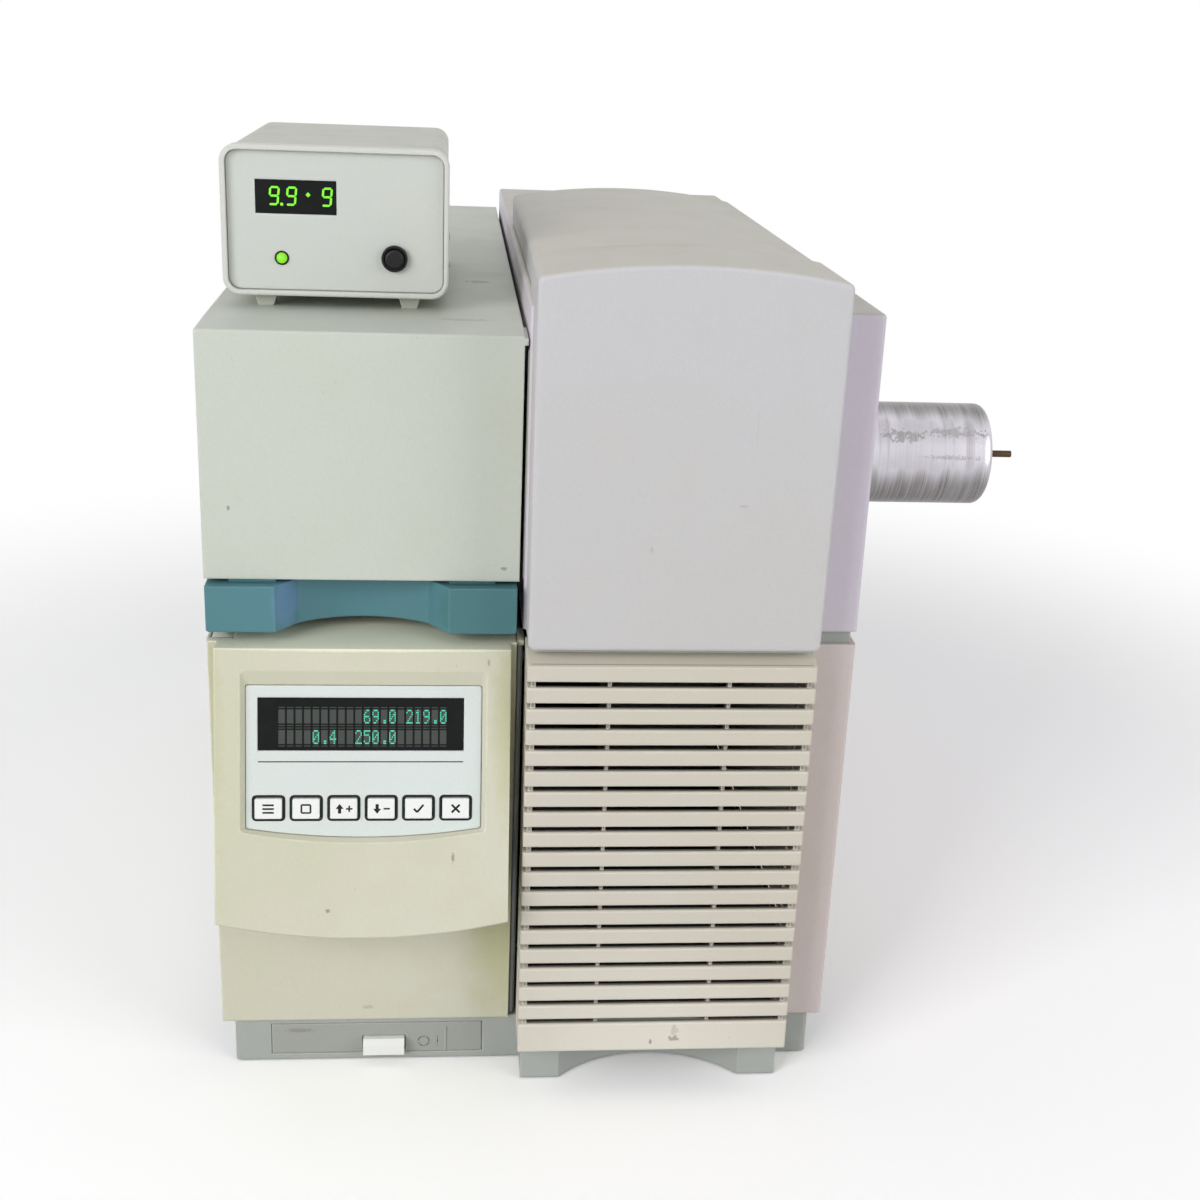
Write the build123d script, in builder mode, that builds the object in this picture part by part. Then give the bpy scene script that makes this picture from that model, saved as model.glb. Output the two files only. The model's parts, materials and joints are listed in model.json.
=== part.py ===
"""Bench-top mass-selective detector with an ionisation-gauge controller on its cover.

Millimetres. +X to the right, +Y to the back, +Z up. The origin is on the bench,
below the middle of the whole object. Every X is measured from the left side of the
cabinet (LEFT_X) and every Y from the main front plane (FRONT_Y).
"""
from build123d import *
from math import cos, pi, radians, sin, tan
import os

os.makedirs("parts", exist_ok=True)

# ---------------------------------------------------------------- driving dimensions
WALL = 3.0                    # moulded covers
SHEET = 1.5                   # folded steel
SEAT_GAP = 0.3                # between separate pieces that seat on each other
SLIDE_GAP = 0.5               # round a piece that moves
EDGE_ROUND = 2.0              # corners of the moulded covers

# cabinet
CABINET_DEPTH = 508.0         # main front plane to the back of the covers
LEFT_UNIT_WIDTH = 143.4
UNIT_GAP = 2.2                # between the left and the right unit
RIGHT_UNIT_WIDTH = 158.9
BASE_HEIGHT = 25.0
LOWER_TOP = 228.5             # top of the lower covers
HANDLE_CLEARANCE = 6.2        # lower covers to handle
HANDLE_HEIGHT = 21.9
COVER_GAP = 2.1               # handle to the cover above it
LEFT_COVER_HEIGHT = 114.1
BELT_HEIGHT = 6.7             # between the two right-hand housings
RIGHT_HOUSING_HEIGHT = 150.8

# base
BASE_INSET = 6.0
BASE_SETBACK = 2.0
BASE_LIFT = 0.8               # wall clearance above the bench
BASE_CORNER = 3.0
PAD_RADIUS = 10.0
PAD_HEIGHT = 3.0
PAD_INSET = 32.0
FOOT_REACH = 17.0             # front feet, ahead of the main front plane
FOOT_WIDTH = 19.0
FOOT_SIDE_INSET = 2.2         # feet inside the louvre's sides
SCOOP_DEPTH = 20.0            # hand-hold between the front feet

# power button in the base
POWER_INSERT_X = 24.0
POWER_INSERT_WIDTH = 106.0
POWER_INSERT_BOTTOM = 4.0
POWER_INSERT_HEIGHT = 17.6
POWER_BUTTON_X = 70.0
POWER_BUTTON_WIDTH = 20.7
POWER_BUTTON_HEIGHT = 8.0
POWER_BUTTON_LIFT = 1.5       # over the bottom of the insert
POWER_BUTTON_REACH = 5.0
POWER_BUTTON_SLOPE = 2.4
POWER_TRAVEL = 3.5
POWER_STEM_RADIUS = 3.0
POWER_STEM_LENGTH = 26.0
INSERT_STEP_X = 111.0         # raised line on the insert, from the left side
INSERT_STEP_WIDTH = 0.8
INSERT_STEP_REACH = 0.5

# analyser cover and its handle
LIP_DEPTH = 28.0              # front band of the top
LIP_DROP = 0.5
LIP_OVERHANG = 1.6
LIP_THICKNESS = 3.0
COVER_RETURN = 90.0           # right-hand wall, from the front
HANDLE_REACH = 5.0
HANDLE_BLOCK = 31.2           # width of each end block
HANDLE_FACET = 9.5            # width of each slanted facet
HANDLE_FACET_DEPTH = 13.3
HANDLE_SCOOP_DEPTH = 23.0
HANDLE_SIDE_INSET = 1.0
HANDLE_BACK = 22.0
HANDLE_TAB_HEIGHT = 26.0      # tabs behind the cover's front wall
HANDLE_TAB_INSET = 10.0
HANDLE_ROUND = 1.5
SHELF_DEPTH = 36.0            # ledge of the lower cover under the handle

# lower left cover: flat flange with a leaning hood that carries the control panel
FLANGE_INSET = 0.5
HOOD_INSET_LEFT = 4.7
HOOD_INSET_RIGHT = 3.4
HOOD_TOP_REACH = 9.4
HOOD_TILT = 13.8              # degrees
SMILE_END_DROP = 125.0        # hood edge below the hood's top, at its ends
SMILE_SAG = 7.0

# control panel, along the leaning face from the hood's top edge
RECESS_X = 16.4
RECESS_WIDTH = 112.6
RECESS_TOP = 10.2
RECESS_HEIGHT = 75.3
RECESS_SAG = 5.2
RECESS_DEPTH = 3.2
RECESS_CORNER = 2.4
PANEL_SIDE_BEVEL = 2.0
PANEL_TOP_BEVEL = 6.9
PANEL_SAG = 4.2
PANEL_THICKNESS = 2.0
WINDOW_X = 24.0
WINDOW_WIDTH = 94.6
WINDOW_TOP = 23.0
WINDOW_HEIGHT = 24.8
WINDOW_THICKNESS = 1.6
KEY_COUNT = 6
KEY_FIRST_X = 29.0
KEY_PITCH = 17.22
KEY_CENTRE = 74.7
KEY_WIDTH = 12.4
KEY_HEIGHT = 9.4
KEY_GAP = 0.5
KEY_REACH = 2.0
KEY_ROUND = 0.8
KEY_STEM_RADIUS = 2.0
KEY_SWITCH_SIZE = 6.0
KEY_SWITCH_HEIGHT = 3.5
KEY_TRAVEL = 1.0
BOARD_THICKNESS = 1.6
BOARD_BOSS = 1.8
LEDGE_DEPTH = 2.0             # hood material behind the rim of the panel
BOARD_DEPTH = 9.0             # panel face to the face of the display board

# louvre and front bezel
MODULE_INSET = 1.2            # left side of the module inside the right unit
MODULE_WIDTH = 133.8
LOUVRE_REACH = 27.0
LOUVRE_BOTTOM = 22.8
LOUVRE_SHADOW_GAP = 3.9       # louvre to the bezel above it
LOUVRE_LEDGE = 13.0
LOUVRE_LEDGE_DROP = 4.3
SLAT_COUNT = 18
SLAT_GAP = 3.2
SLAT_BEVEL = 0.5
LAST_SLAT = 15.4              # height of the lowest slat
CORNER_POST = 2.2
CORNER_INSET = 1.8            # posts behind the faces of the slats
SLAT_BACK_MARGIN = 4.0
POST_SHARES = (0.285, 0.70)
POST_WIDTH = 1.6
POST_DEPTH = 6.0
VENT_PITCH = 10.5             # plain vents inside and at the back
VENT_GAP = 2.7
BEZEL_GAP = 0.2
BEZEL_SIDE_HEIGHT = 17.5      # bezel's sides above the housing
ARCH_RISE = 6.5
BEZEL_REACH = 28.0
BEZEL_TOP_REACH = 34.0
BEZEL_LIP = 30.0              # over the housing, behind the main front plane
BEZEL_ROUND = 1.5
ARCH_INSET = 1.0
ARCH_BACK = 296.0
ARCH_ROUND = 3.0

# frame inside
CHASSIS_INSET = 8.0
DECK_FRONT = 40.0
DECK_LEG_DEPTH = 50.0
SIDE_PANEL_RETURN = 12.0
TRAY_INSET = 2.6
TRAY_NOSE_REACH = 20.0
TRAY_PLATE = 2.0
TRAY_VENTS = 8
TRAY_VENT_SPACE = 112.0       # middle of the vents to the back of the covers

# vacuum manifold and what it carries
MANIFOLD_X = (45.0, 125.0)
MANIFOLD_FRONT = 82.0
MANIFOLD_BACK_SPACE = 108.0   # to the back of the covers
MANIFOLD_LIFT = 11.5          # above the lower covers
MANIFOLD_HEIGHT = 100.0
MANIFOLD_WALL = 10.0
SIDE_PLATE = 9.0
AXIS_X = 86.0                 # ion beam
AXIS_LIFT = 52.0              # above the bottom of the manifold
ROD_RADIUS = 4.2
ROD_SPACING = 5.6             # beam axis to rod axis, along X and along Z
ROD_START = 168.0
DETECTOR_SPACE = 36.0
SOURCE_STEP = 12.0
SOURCE_BODY = 50.0
SOURCE_RADII = (14.0, 20.0, 12.0)
COLLAR_RADIUS = 19.0
COLLAR_LENGTH = 12.0
PUMP_BACK_SPACE = 100.0       # pump axis to the back of the manifold
PUMP_RADIUS = 49.0
PUMP_WAIST_RADIUS = 44.0
PUMP_NECK_RADIUS = 35.3
PUMP_BOTTOM = 96.0
PUMP_NECK = 40.0
PUMP_TAPER = 12.0
PUMP_FLANGE = 14.0
PUMP_RIBS = 6
PUMP_RIB_START = 58.0
PUMP_RIB_PITCH = 10.8
WINDOW_RING_RADIUS = 36.0
WINDOW_GLASS_RADIUS = 28.0
WINDOW_Y = 200.0
KNOB_RADIUS = 15.0
KNOB_LENGTH = 16.0
KNOB_X = 65.0
KNOB_Z = 262.0
KNOB_FLUTES = 12

# interface tube
TUBE_Y = 124.0
TUBE_RADIUS = 26.8
TUBE_REACH = 90.5             # out of the right side
TUBE_ROUND = 5.0
TUBE_STEP = 1.0               # outer sleeve stands off the housing, and over the tube
TUBE_FLANGE_RADIUS = 36.0
TUBE_FLANGE = 8.0
PIN_RADIUS = 1.8
PIN_REACH = 17.5
PIN_NUT_RADIUS = 3.4
PIN_NUT_LENGTH = 2.5

# back
REAR_REACH = 28.0             # pump fitting behind the covers
FORELINE_X = 86.0
FORELINE_Z = 112.0
FORELINE_RADIUS = 12.0
BARB_PITCH = 6.0
FAN_SIZE = 80.0
FAN_DEPTH = 25.0
FAN_X = 205.0
FAN_Z = 160.0
FAN_HUB_RADIUS = 17.0
FAN_BLADES = 7
FAN_BLADE_TILT = 35.0
FAN_BLADE_CHORD = 14.4
FAN_TIP_GAP = 1.0
INLET_X = 274.0
INLET_Z = 62.0
INLET_SIZE = (27.0, 31.0)
INLET_DEPTH = 18.0
INLET_PIN_DROP = 2.5
INLET_PIN_SPREAD = 7.0
INLET_PIN_SIZE = (2.0, 4.0)
GUARD_RINGS = 5
GUARD_WIRE = 2.0
CONNECTOR_XS = (34.0, 76.0, 118.0)
CONNECTOR_Z = 196.0
CONNECTOR_SIZE = (22.0, 10.0)
CONNECTOR_DEPTH = 14.0
VENT_X = 40.0
VENT_Z = 96.0
VENT_COUNT = 5
VENT_LENGTH = 60.0
GAUGE_NECK_RADIUS = 10.0      # glass gauge tube behind the manifold
GAUGE_BULB_RADIUS = 20.0
GAUGE_BULB_LENGTH = 50.0
GAUGE_SHOULDER = 10.0
GAUGE_TIP = (6.0, 14.0, 10.0)  # taper, radius and length of the closed end

# electronics
STANDOFF = 6.0
MAIN_BOARD_FRONT = 30.0
BOARD_BACK_SPACE = 68.0       # boards and supply to the back of the covers
MAIN_BOARD_Z = (40.0, 215.0)
CHIP_PITCH = 46.0
CHIP_ROWS = (8, 3)
CHIP_SIZE = (32.0, 21.0)
SUPPLY_X = (212.0, 292.0)
SUPPLY_DEPTH = 150.0
SUPPLY_HEIGHT = 66.0
SUPPLY_VENTS = 9
COIL_BOX_X = (165.0, 285.0)
COIL_BOX_Y = (190.0, 330.0)
COIL_BOX_HEIGHT = 92.0
COIL_PITCH = 60.0

# gauge controller
GAUGE_X = 6.6
GAUGE_WIDTH = 103.2
GAUGE_HEIGHT = 67.4
GAUGE_FRONT = 52.0
GAUGE_DEPTH = 165.0
GAUGE_FOOT = 6.0
GAUGE_CORNER = 8.0
GAUGE_RIM_DEPTH = 8.0
GAUGE_RIM_WIDTH = 2.4
GAUGE_CASE_INSET = 0.8
GAUGE_CASE_WALL = 1.8
GAUGE_PANEL_RECESS = 3.0
GAUGE_PANEL_THICKNESS = 2.0
GAUGE_WINDOW_X = 15.4         # from the left side of the rim
GAUGE_WINDOW_Z = 36.8         # from the bottom of the rim
GAUGE_WINDOW_SIZE = (36.6, 15.2)
GAUGE_LED_X = 26.8
GAUGE_LED_Z = 17.0
GAUGE_LED_RADIUS = 2.4
GAUGE_BUTTON_X = 78.2
GAUGE_BUTTON_Z = 18.1
GAUGE_BUTTON_RADIUS = 4.4
GAUGE_COLLAR_RADIUS = 6.0
GAUGE_BUTTON_REACH = 5.0
GAUGE_BUTTON_TRAVEL = 2.5
GAUGE_FOOT_SPREAD = 66.5
GAUGE_FOOT_SETBACK = 10.0
GAUGE_FOOT_TOP = 11.0
GAUGE_FOOT_BASE = 7.0
GAUGE_FOOT_DEPTH = 12.0
GAUGE_BOARD_LIFT = 6.0

# ---------------------------------------------------------------- derived places
CABINET_WIDTH = LEFT_UNIT_WIDTH + UNIT_GAP + RIGHT_UNIT_WIDTH
HANDLE_BOTTOM = LOWER_TOP + HANDLE_CLEARANCE
LEFT_COVER_BOTTOM = HANDLE_BOTTOM + HANDLE_HEIGHT + COVER_GAP
LEFT_COVER_TOP = LEFT_COVER_BOTTOM + LEFT_COVER_HEIGHT
RIGHT_HOUSING_BOTTOM = LOWER_TOP + BELT_HEIGHT
RIGHT_HOUSING_TOP = RIGHT_HOUSING_BOTTOM + RIGHT_HOUSING_HEIGHT
BEZEL_BOTTOM = RIGHT_HOUSING_BOTTOM + BEZEL_GAP
BEZEL_SIDE_TOP = RIGHT_HOUSING_TOP + BEZEL_SIDE_HEIGHT
LOUVRE_TOP = BEZEL_BOTTOM - LOUVRE_SHADOW_GAP
LOUVRE_SHOULDER = LOUVRE_TOP - LOUVRE_LEDGE_DROP
SLAT_PITCH = (LOUVRE_SHOULDER - LOUVRE_BOTTOM - LAST_SLAT) / SLAT_COUNT
MANIFOLD_Y = (MANIFOLD_FRONT, CABINET_DEPTH - MANIFOLD_BACK_SPACE)
MANIFOLD_Z = (LOWER_TOP + MANIFOLD_LIFT, LOWER_TOP + MANIFOLD_LIFT + MANIFOLD_HEIGHT)
AXIS_Z = MANIFOLD_Z[0] + AXIS_LIFT
ROD_LENGTH = MANIFOLD_Y[1] - DETECTOR_SPACE - ROD_START
PUMP_Y = MANIFOLD_Y[1] - PUMP_BACK_SPACE
MAIN_BOARD_Y = (MAIN_BOARD_FRONT, CABINET_DEPTH - BOARD_BACK_SPACE)
SUPPLY_Y = (MAIN_BOARD_Y[1] - SUPPLY_DEPTH, MAIN_BOARD_Y[1])
SMILE_LOW_DROP = SMILE_END_DROP + SMILE_SAG
HOOD_REACH = HOOD_TOP_REACH + SMILE_LOW_DROP * tan(radians(HOOD_TILT))
LEFT_X = -(CABINET_WIDTH + TUBE_REACH + PIN_REACH) / 2
FRONT_Y = HOOD_REACH - (HOOD_REACH + CABINET_DEPTH + REAR_REACH) / 2
BACK_Y = FRONT_Y + CABINET_DEPTH
LEFT_X1 = LEFT_X + LEFT_UNIT_WIDTH
RIGHT_X0 = LEFT_X1 + UNIT_GAP
RIGHT_X1 = LEFT_X + CABINET_WIDTH
MODULE_X0 = RIGHT_X0 + MODULE_INSET
MODULE_X1 = MODULE_X0 + MODULE_WIDTH
MODULE_MID = (MODULE_X0 + MODULE_X1) / 2
DIVIDER_X0 = LEFT_X1 + SEAT_GAP
DIVIDER_X1 = DIVIDER_X0 + SHEET
INNER_BACK_Y = BACK_Y - WALL - SEAT_GAP


def span(start, low_high, margin=0.0):
    """Return a (low, high) pair moved to a datum and grown by a margin."""
    return (start + low_high[0] - margin, start + low_high[1] + margin)


def slab(x, y, z, mode=Mode.ADD):
    """Add or cut a box between (low, high) pairs in the part being built."""
    middle = ((x[0] + x[1]) / 2, (y[0] + y[1]) / 2, (z[0] + z[1]) / 2)
    with Locations(middle):
        Box(x[1] - x[0], y[1] - y[0], z[1] - z[0], mode=mode)


def rod(start, direction, radius, length, mode=Mode.ADD):
    """Add or cut a round rod from a start point along a direction."""
    with BuildSketch(Plane(start, z_dir=direction), mode=Mode.PRIVATE) as section:
        Circle(radius)
    extrude(section.sketch, amount=length, mode=mode)


def turned(plane, points):
    """Add a solid of revolution round the plane's own X axis from (along, radius) points."""
    with BuildSketch(plane, mode=Mode.PRIVATE) as half:
        with BuildLine():
            Polyline((points[0][0], 0), *points, (points[-1][0], 0), close=True)
        make_face()
    revolve(half.sketch, axis=Axis(plane.origin, plane.x_dir))


# ================================================================ base
BASE_X0 = LEFT_X + BASE_INSET
BASE_X1 = RIGHT_X1 - BASE_INSET
BASE_Y0 = FRONT_Y + BASE_SETBACK
BASE_Y1 = BACK_Y - BASE_SETBACK
FOOT_X0 = MODULE_X0 + FOOT_SIDE_INSET
FOOT_X1 = MODULE_X1 - FOOT_SIDE_INSET
FOOT_Y0 = FRONT_Y - FOOT_REACH
BASE_CEILING = BASE_HEIGHT - WALL
INSERT_X0 = LEFT_X + POWER_INSERT_X
INSERT_X1 = INSERT_X0 + POWER_INSERT_WIDTH
INSERT_Z0 = POWER_INSERT_BOTTOM
INSERT_Z1 = POWER_INSERT_BOTTOM + POWER_INSERT_HEIGHT
PAD_PLACES = [
    (x, y)
    for x in (BASE_X0 + PAD_INSET, BASE_X1 - PAD_INSET)
    for y in (BASE_Y0 + PAD_INSET + SCOOP_DEPTH, BASE_Y1 - PAD_INSET)
]

with BuildPart() as base_pan:
    with BuildSketch(Plane.XY.offset(BASE_LIFT)) as base_outline:
        with BuildLine():
            Polyline(
                (FOOT_X0 + FOOT_WIDTH, FOOT_Y0), (FOOT_X0, FOOT_Y0), (FOOT_X0, BASE_Y0),
                (BASE_X0, BASE_Y0), (BASE_X0, BASE_Y1), (BASE_X1, BASE_Y1),
                (BASE_X1, BASE_Y0), (FOOT_X1, BASE_Y0), (FOOT_X1, FOOT_Y0),
                (FOOT_X1 - FOOT_WIDTH, FOOT_Y0),
            )
            ThreePointArc(
                (FOOT_X1 - FOOT_WIDTH, FOOT_Y0),
                (MODULE_MID, FOOT_Y0 + SCOOP_DEPTH),
                (FOOT_X0 + FOOT_WIDTH, FOOT_Y0),
            )
        make_face()
        sides = base_outline.vertices().group_by(Axis.X)
        fillet(sides[0] + sides[-1], BASE_CORNER)
    extrude(amount=BASE_HEIGHT - BASE_LIFT)
    hollow = offset(base_outline.sketch, amount=-WALL, mode=Mode.PRIVATE)
    extrude(hollow, amount=BASE_CEILING - BASE_LIFT, mode=Mode.SUBTRACT)
    for pad_x, pad_y in PAD_PLACES:
        rod((pad_x, pad_y, PAD_HEIGHT), (0, 0, 1), PAD_RADIUS + WALL, BASE_CEILING - PAD_HEIGHT)
    slab(
        (INSERT_X0, INSERT_X1), (BASE_Y0 - WALL, BASE_Y0 + WALL + SEAT_GAP),
        (INSERT_Z0, INSERT_Z1), mode=Mode.SUBTRACT,
    )
base_pan.part.label = "base_pan"
export_step(base_pan.part, "parts/base_pan.step")

with BuildPart() as rubber_feet:
    with BuildSketch():
        with Locations(*PAD_PLACES):
            Circle(PAD_RADIUS)
    extrude(amount=PAD_HEIGHT)
rubber_feet.part.label = "rubber_feet"
export_step(rubber_feet.part, "parts/rubber_feet.step")

# ---------------------------------------------------------------- power control
BUTTON_X0 = LEFT_X + POWER_BUTTON_X
BUTTON_X1 = BUTTON_X0 + POWER_BUTTON_WIDTH
BUTTON_Z0 = INSERT_Z0 + POWER_BUTTON_LIFT
BUTTON_Z1 = BUTTON_Z0 + POWER_BUTTON_HEIGHT
BUTTON_FRONT = BASE_Y0 - POWER_BUTTON_REACH
BUTTON_BACK = BASE_Y0 + WALL + POWER_TRAVEL
BUTTON_MID = ((BUTTON_X0 + BUTTON_X1) / 2, (BUTTON_Z0 + BUTTON_Z1) / 2)
SWITCH_FRONT = BUTTON_BACK + POWER_TRAVEL + SLIDE_GAP

with BuildPart() as power_insert:
    slab(
        (INSERT_X0 + SEAT_GAP, INSERT_X1 - SEAT_GAP), (BASE_Y0, BASE_Y0 + WALL),
        (INSERT_Z0 + SEAT_GAP, INSERT_Z1 - SEAT_GAP),
    )
    slab(
        (BUTTON_X0 - SLIDE_GAP, BUTTON_X1 + SLIDE_GAP), (BASE_Y0 - WALL, BASE_Y0 + 2 * WALL),
        (BUTTON_Z0 - SLIDE_GAP, BUTTON_Z1 + SLIDE_GAP), mode=Mode.SUBTRACT,
    )
    slab(
        (LEFT_X + INSERT_STEP_X, LEFT_X + INSERT_STEP_X + INSERT_STEP_WIDTH),
        (BASE_Y0 - INSERT_STEP_REACH, BASE_Y0), (INSERT_Z0 + SEAT_GAP, INSERT_Z1 - WALL),
    )
power_insert.part.label = "power_insert"
export_step(power_insert.part, "parts/power_insert.step")

with BuildPart() as power_button:
    slab((BUTTON_X0, BUTTON_X1), (BUTTON_FRONT, BUTTON_BACK), (BUTTON_Z0, BUTTON_Z1))
    top_front = power_button.edges().filter_by(Axis.X).group_by(Axis.Y)[0].sort_by(Axis.Z)[-1]
    chamfer(top_front, POWER_BUTTON_SLOPE)
    rod(
        (BUTTON_MID[0], BUTTON_BACK, BUTTON_MID[1]), (0, 1, 0),
        POWER_STEM_RADIUS, POWER_STEM_LENGTH,
    )
power_button.part.label = "power_button"
export_step(power_button.part, "parts/power_button.step")

with BuildPart() as power_switch:
    slab(
        (BUTTON_X0, BUTTON_X1), (SWITCH_FRONT, BUTTON_BACK + POWER_STEM_LENGTH + 3 * POWER_TRAVEL),
        (BUTTON_Z0, BASE_CEILING),
    )
    rod(
        (BUTTON_MID[0], SWITCH_FRONT, BUTTON_MID[1]), (0, 1, 0),
        POWER_STEM_RADIUS + SLIDE_GAP, POWER_STEM_LENGTH + POWER_TRAVEL, mode=Mode.SUBTRACT,
    )
power_switch.part.label = "power_switch"
export_step(power_switch.part, "parts/power_switch.step")

# ================================================================ frame inside
FLOOR_TOP = BASE_HEIGHT + SHEET
DECK_X0 = LEFT_X + CHASSIS_INSET
DECK_TOP = LOWER_TOP - SEAT_GAP
DECK_Y0 = FRONT_Y + DECK_FRONT
DECK_Y1 = INNER_BACK_Y - CHASSIS_INSET
PUMP_X = LEFT_X + AXIS_X

with BuildPart() as chassis:
    slab(
        (DECK_X0, RIGHT_X1 - CHASSIS_INSET), (FRONT_Y + CHASSIS_INSET, DECK_Y1),
        (BASE_HEIGHT, FLOOR_TOP),
    )
    slab((DIVIDER_X0, DIVIDER_X1), (FRONT_Y + WALL + SEAT_GAP, DECK_Y1), (BASE_HEIGHT, DECK_TOP))
    slab((DECK_X0, DIVIDER_X1), (DECK_Y0, DECK_Y1), (DECK_TOP - SHEET, DECK_TOP))
    for leg_y in (DECK_Y0, DECK_Y1 - DECK_LEG_DEPTH):
        slab(
            (DECK_X0, DECK_X0 + SHEET), (leg_y, leg_y + DECK_LEG_DEPTH), (BASE_HEIGHT, DECK_TOP),
        )
    rod(
        (PUMP_X, FRONT_Y + PUMP_Y, DECK_TOP - WALL), (0, 0, 1),
        PUMP_RADIUS + SEAT_GAP, 2 * WALL, mode=Mode.SUBTRACT,
    )
chassis.part.label = "chassis"
export_step(chassis.part, "parts/chassis.step")

# The tray closes the belt between the two right-hand housings; its nose fills the
# shadow line between the louvre and the bezel.
TRAY_X = (RIGHT_X0 + TRAY_INSET, RIGHT_X1 - TRAY_INSET)
TRAY_Y = (FRONT_Y + TRAY_INSET, BACK_Y - TRAY_INSET)

with BuildPart() as mid_tray:
    slab(TRAY_X, TRAY_Y, (LOWER_TOP, RIGHT_HOUSING_BOTTOM))
    slab(
        (TRAY_X[0] + WALL, TRAY_X[1] - WALL), (TRAY_Y[0] + WALL, TRAY_Y[1] - WALL),
        (LOWER_TOP, RIGHT_HOUSING_BOTTOM - TRAY_PLATE), mode=Mode.SUBTRACT,
    )
    slab(
        (MODULE_X0 + WALL, MODULE_X1 - WALL),
        (FRONT_Y - TRAY_NOSE_REACH, TRAY_Y[0]),
        (LOUVRE_TOP + SEAT_GAP, RIGHT_HOUSING_BOTTOM),
    )
    with BuildSketch(Plane.XY.offset(RIGHT_HOUSING_BOTTOM - TRAY_PLATE)):
        with Locations((MODULE_MID, BACK_Y - TRAY_VENT_SPACE)):
            with GridLocations(VENT_PITCH, 0, TRAY_VENTS, 1):
                SlotOverall(6 * VENT_PITCH, VENT_GAP + SHEET, rotation=90)
    extrude(amount=TRAY_PLATE, mode=Mode.SUBTRACT)
mid_tray.part.label = "mid_tray"
export_step(mid_tray.part, "parts/mid_tray.step")

PANEL_TOP = LEFT_COVER_BOTTOM - SEAT_GAP
with BuildPart() as left_side_panel:
    panel_y = (FRONT_Y + WALL + SEAT_GAP, BACK_Y - SEAT_GAP)
    slab((LEFT_X, LEFT_X + SHEET), panel_y, (BASE_HEIGHT, PANEL_TOP))
    for edge_y in (panel_y[0], panel_y[1] - SHEET):
        slab(
            (LEFT_X, LEFT_X + SIDE_PANEL_RETURN), (edge_y, edge_y + SHEET),
            (BASE_HEIGHT, PANEL_TOP),
        )
    slab(
        (LEFT_X - SHEET, LEFT_X1), (FRONT_Y, FRONT_Y + HANDLE_BACK + SLIDE_GAP),
        (LOWER_TOP, PANEL_TOP), mode=Mode.SUBTRACT,
    )
left_side_panel.part.label = "left_side_panel"
export_step(left_side_panel.part, "parts/left_side_panel.step")

# ================================================================ left-hand covers
LIP_BACK_Y = FRONT_Y + LIP_DEPTH

with BuildPart() as analyzer_cover:
    with BuildSketch(Plane.YZ.offset(LEFT_X)) as cover_side:
        with BuildLine():
            Polyline(
                (FRONT_Y, LEFT_COVER_BOTTOM),
                (FRONT_Y, LEFT_COVER_TOP - LIP_DROP),
                (LIP_BACK_Y, LEFT_COVER_TOP),
                (BACK_Y, LEFT_COVER_TOP),
                (BACK_Y, LEFT_COVER_BOTTOM),
                close=True,
            )
        make_face()
        fillet(cover_side.vertices().group_by(Axis.Y)[-1].sort_by(Axis.Z)[-1], EDGE_ROUND)
    extrude(amount=LEFT_UNIT_WIDTH)
    front_top = analyzer_cover.edges().filter_by(Axis.X).filter_by_position(
        Axis.Y, FRONT_Y - 1, FRONT_Y + 1).sort_by(Axis.Z)[-1]
    fillet(front_top, EDGE_ROUND / 2)
    fillet(
        analyzer_cover.edges().filter_by(Axis.Z).group_by(Axis.Y)[0].sort_by(Axis.X)[0],
        EDGE_ROUND / 2,
    )
    offset(amount=-WALL, openings=analyzer_cover.faces().sort_by(Axis.Z)[0])
    slab(
        (LEFT_X1 - WALL - SEAT_GAP, LEFT_X1 + WALL), (FRONT_Y + COVER_RETURN, BACK_Y - WALL),
        (LEFT_COVER_BOTTOM - WALL, LEFT_COVER_TOP - WALL), mode=Mode.SUBTRACT,
    )
    lip_top = LEFT_COVER_TOP - LIP_DROP - EDGE_ROUND / 2
    slab(
        (LEFT_X1 - WALL, LEFT_X1 + LIP_OVERHANG), (FRONT_Y, LIP_BACK_Y),
        (lip_top - LIP_THICKNESS, lip_top),
    )
analyzer_cover.part.label = "analyzer_cover"
export_step(analyzer_cover.part, "parts/analyzer_cover.step")

HANDLE_X0 = LEFT_X + HANDLE_SIDE_INSET
HANDLE_X1 = LEFT_X1 - HANDLE_SIDE_INSET
HANDLE_Y0 = FRONT_Y - HANDLE_REACH
HANDLE_TOP = HANDLE_BOTTOM + HANDLE_HEIGHT
HANDLE_MID = (HANDLE_X0 + HANDLE_X1) / 2
FACET_OFFSET = HANDLE_BLOCK + HANDLE_FACET

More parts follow.
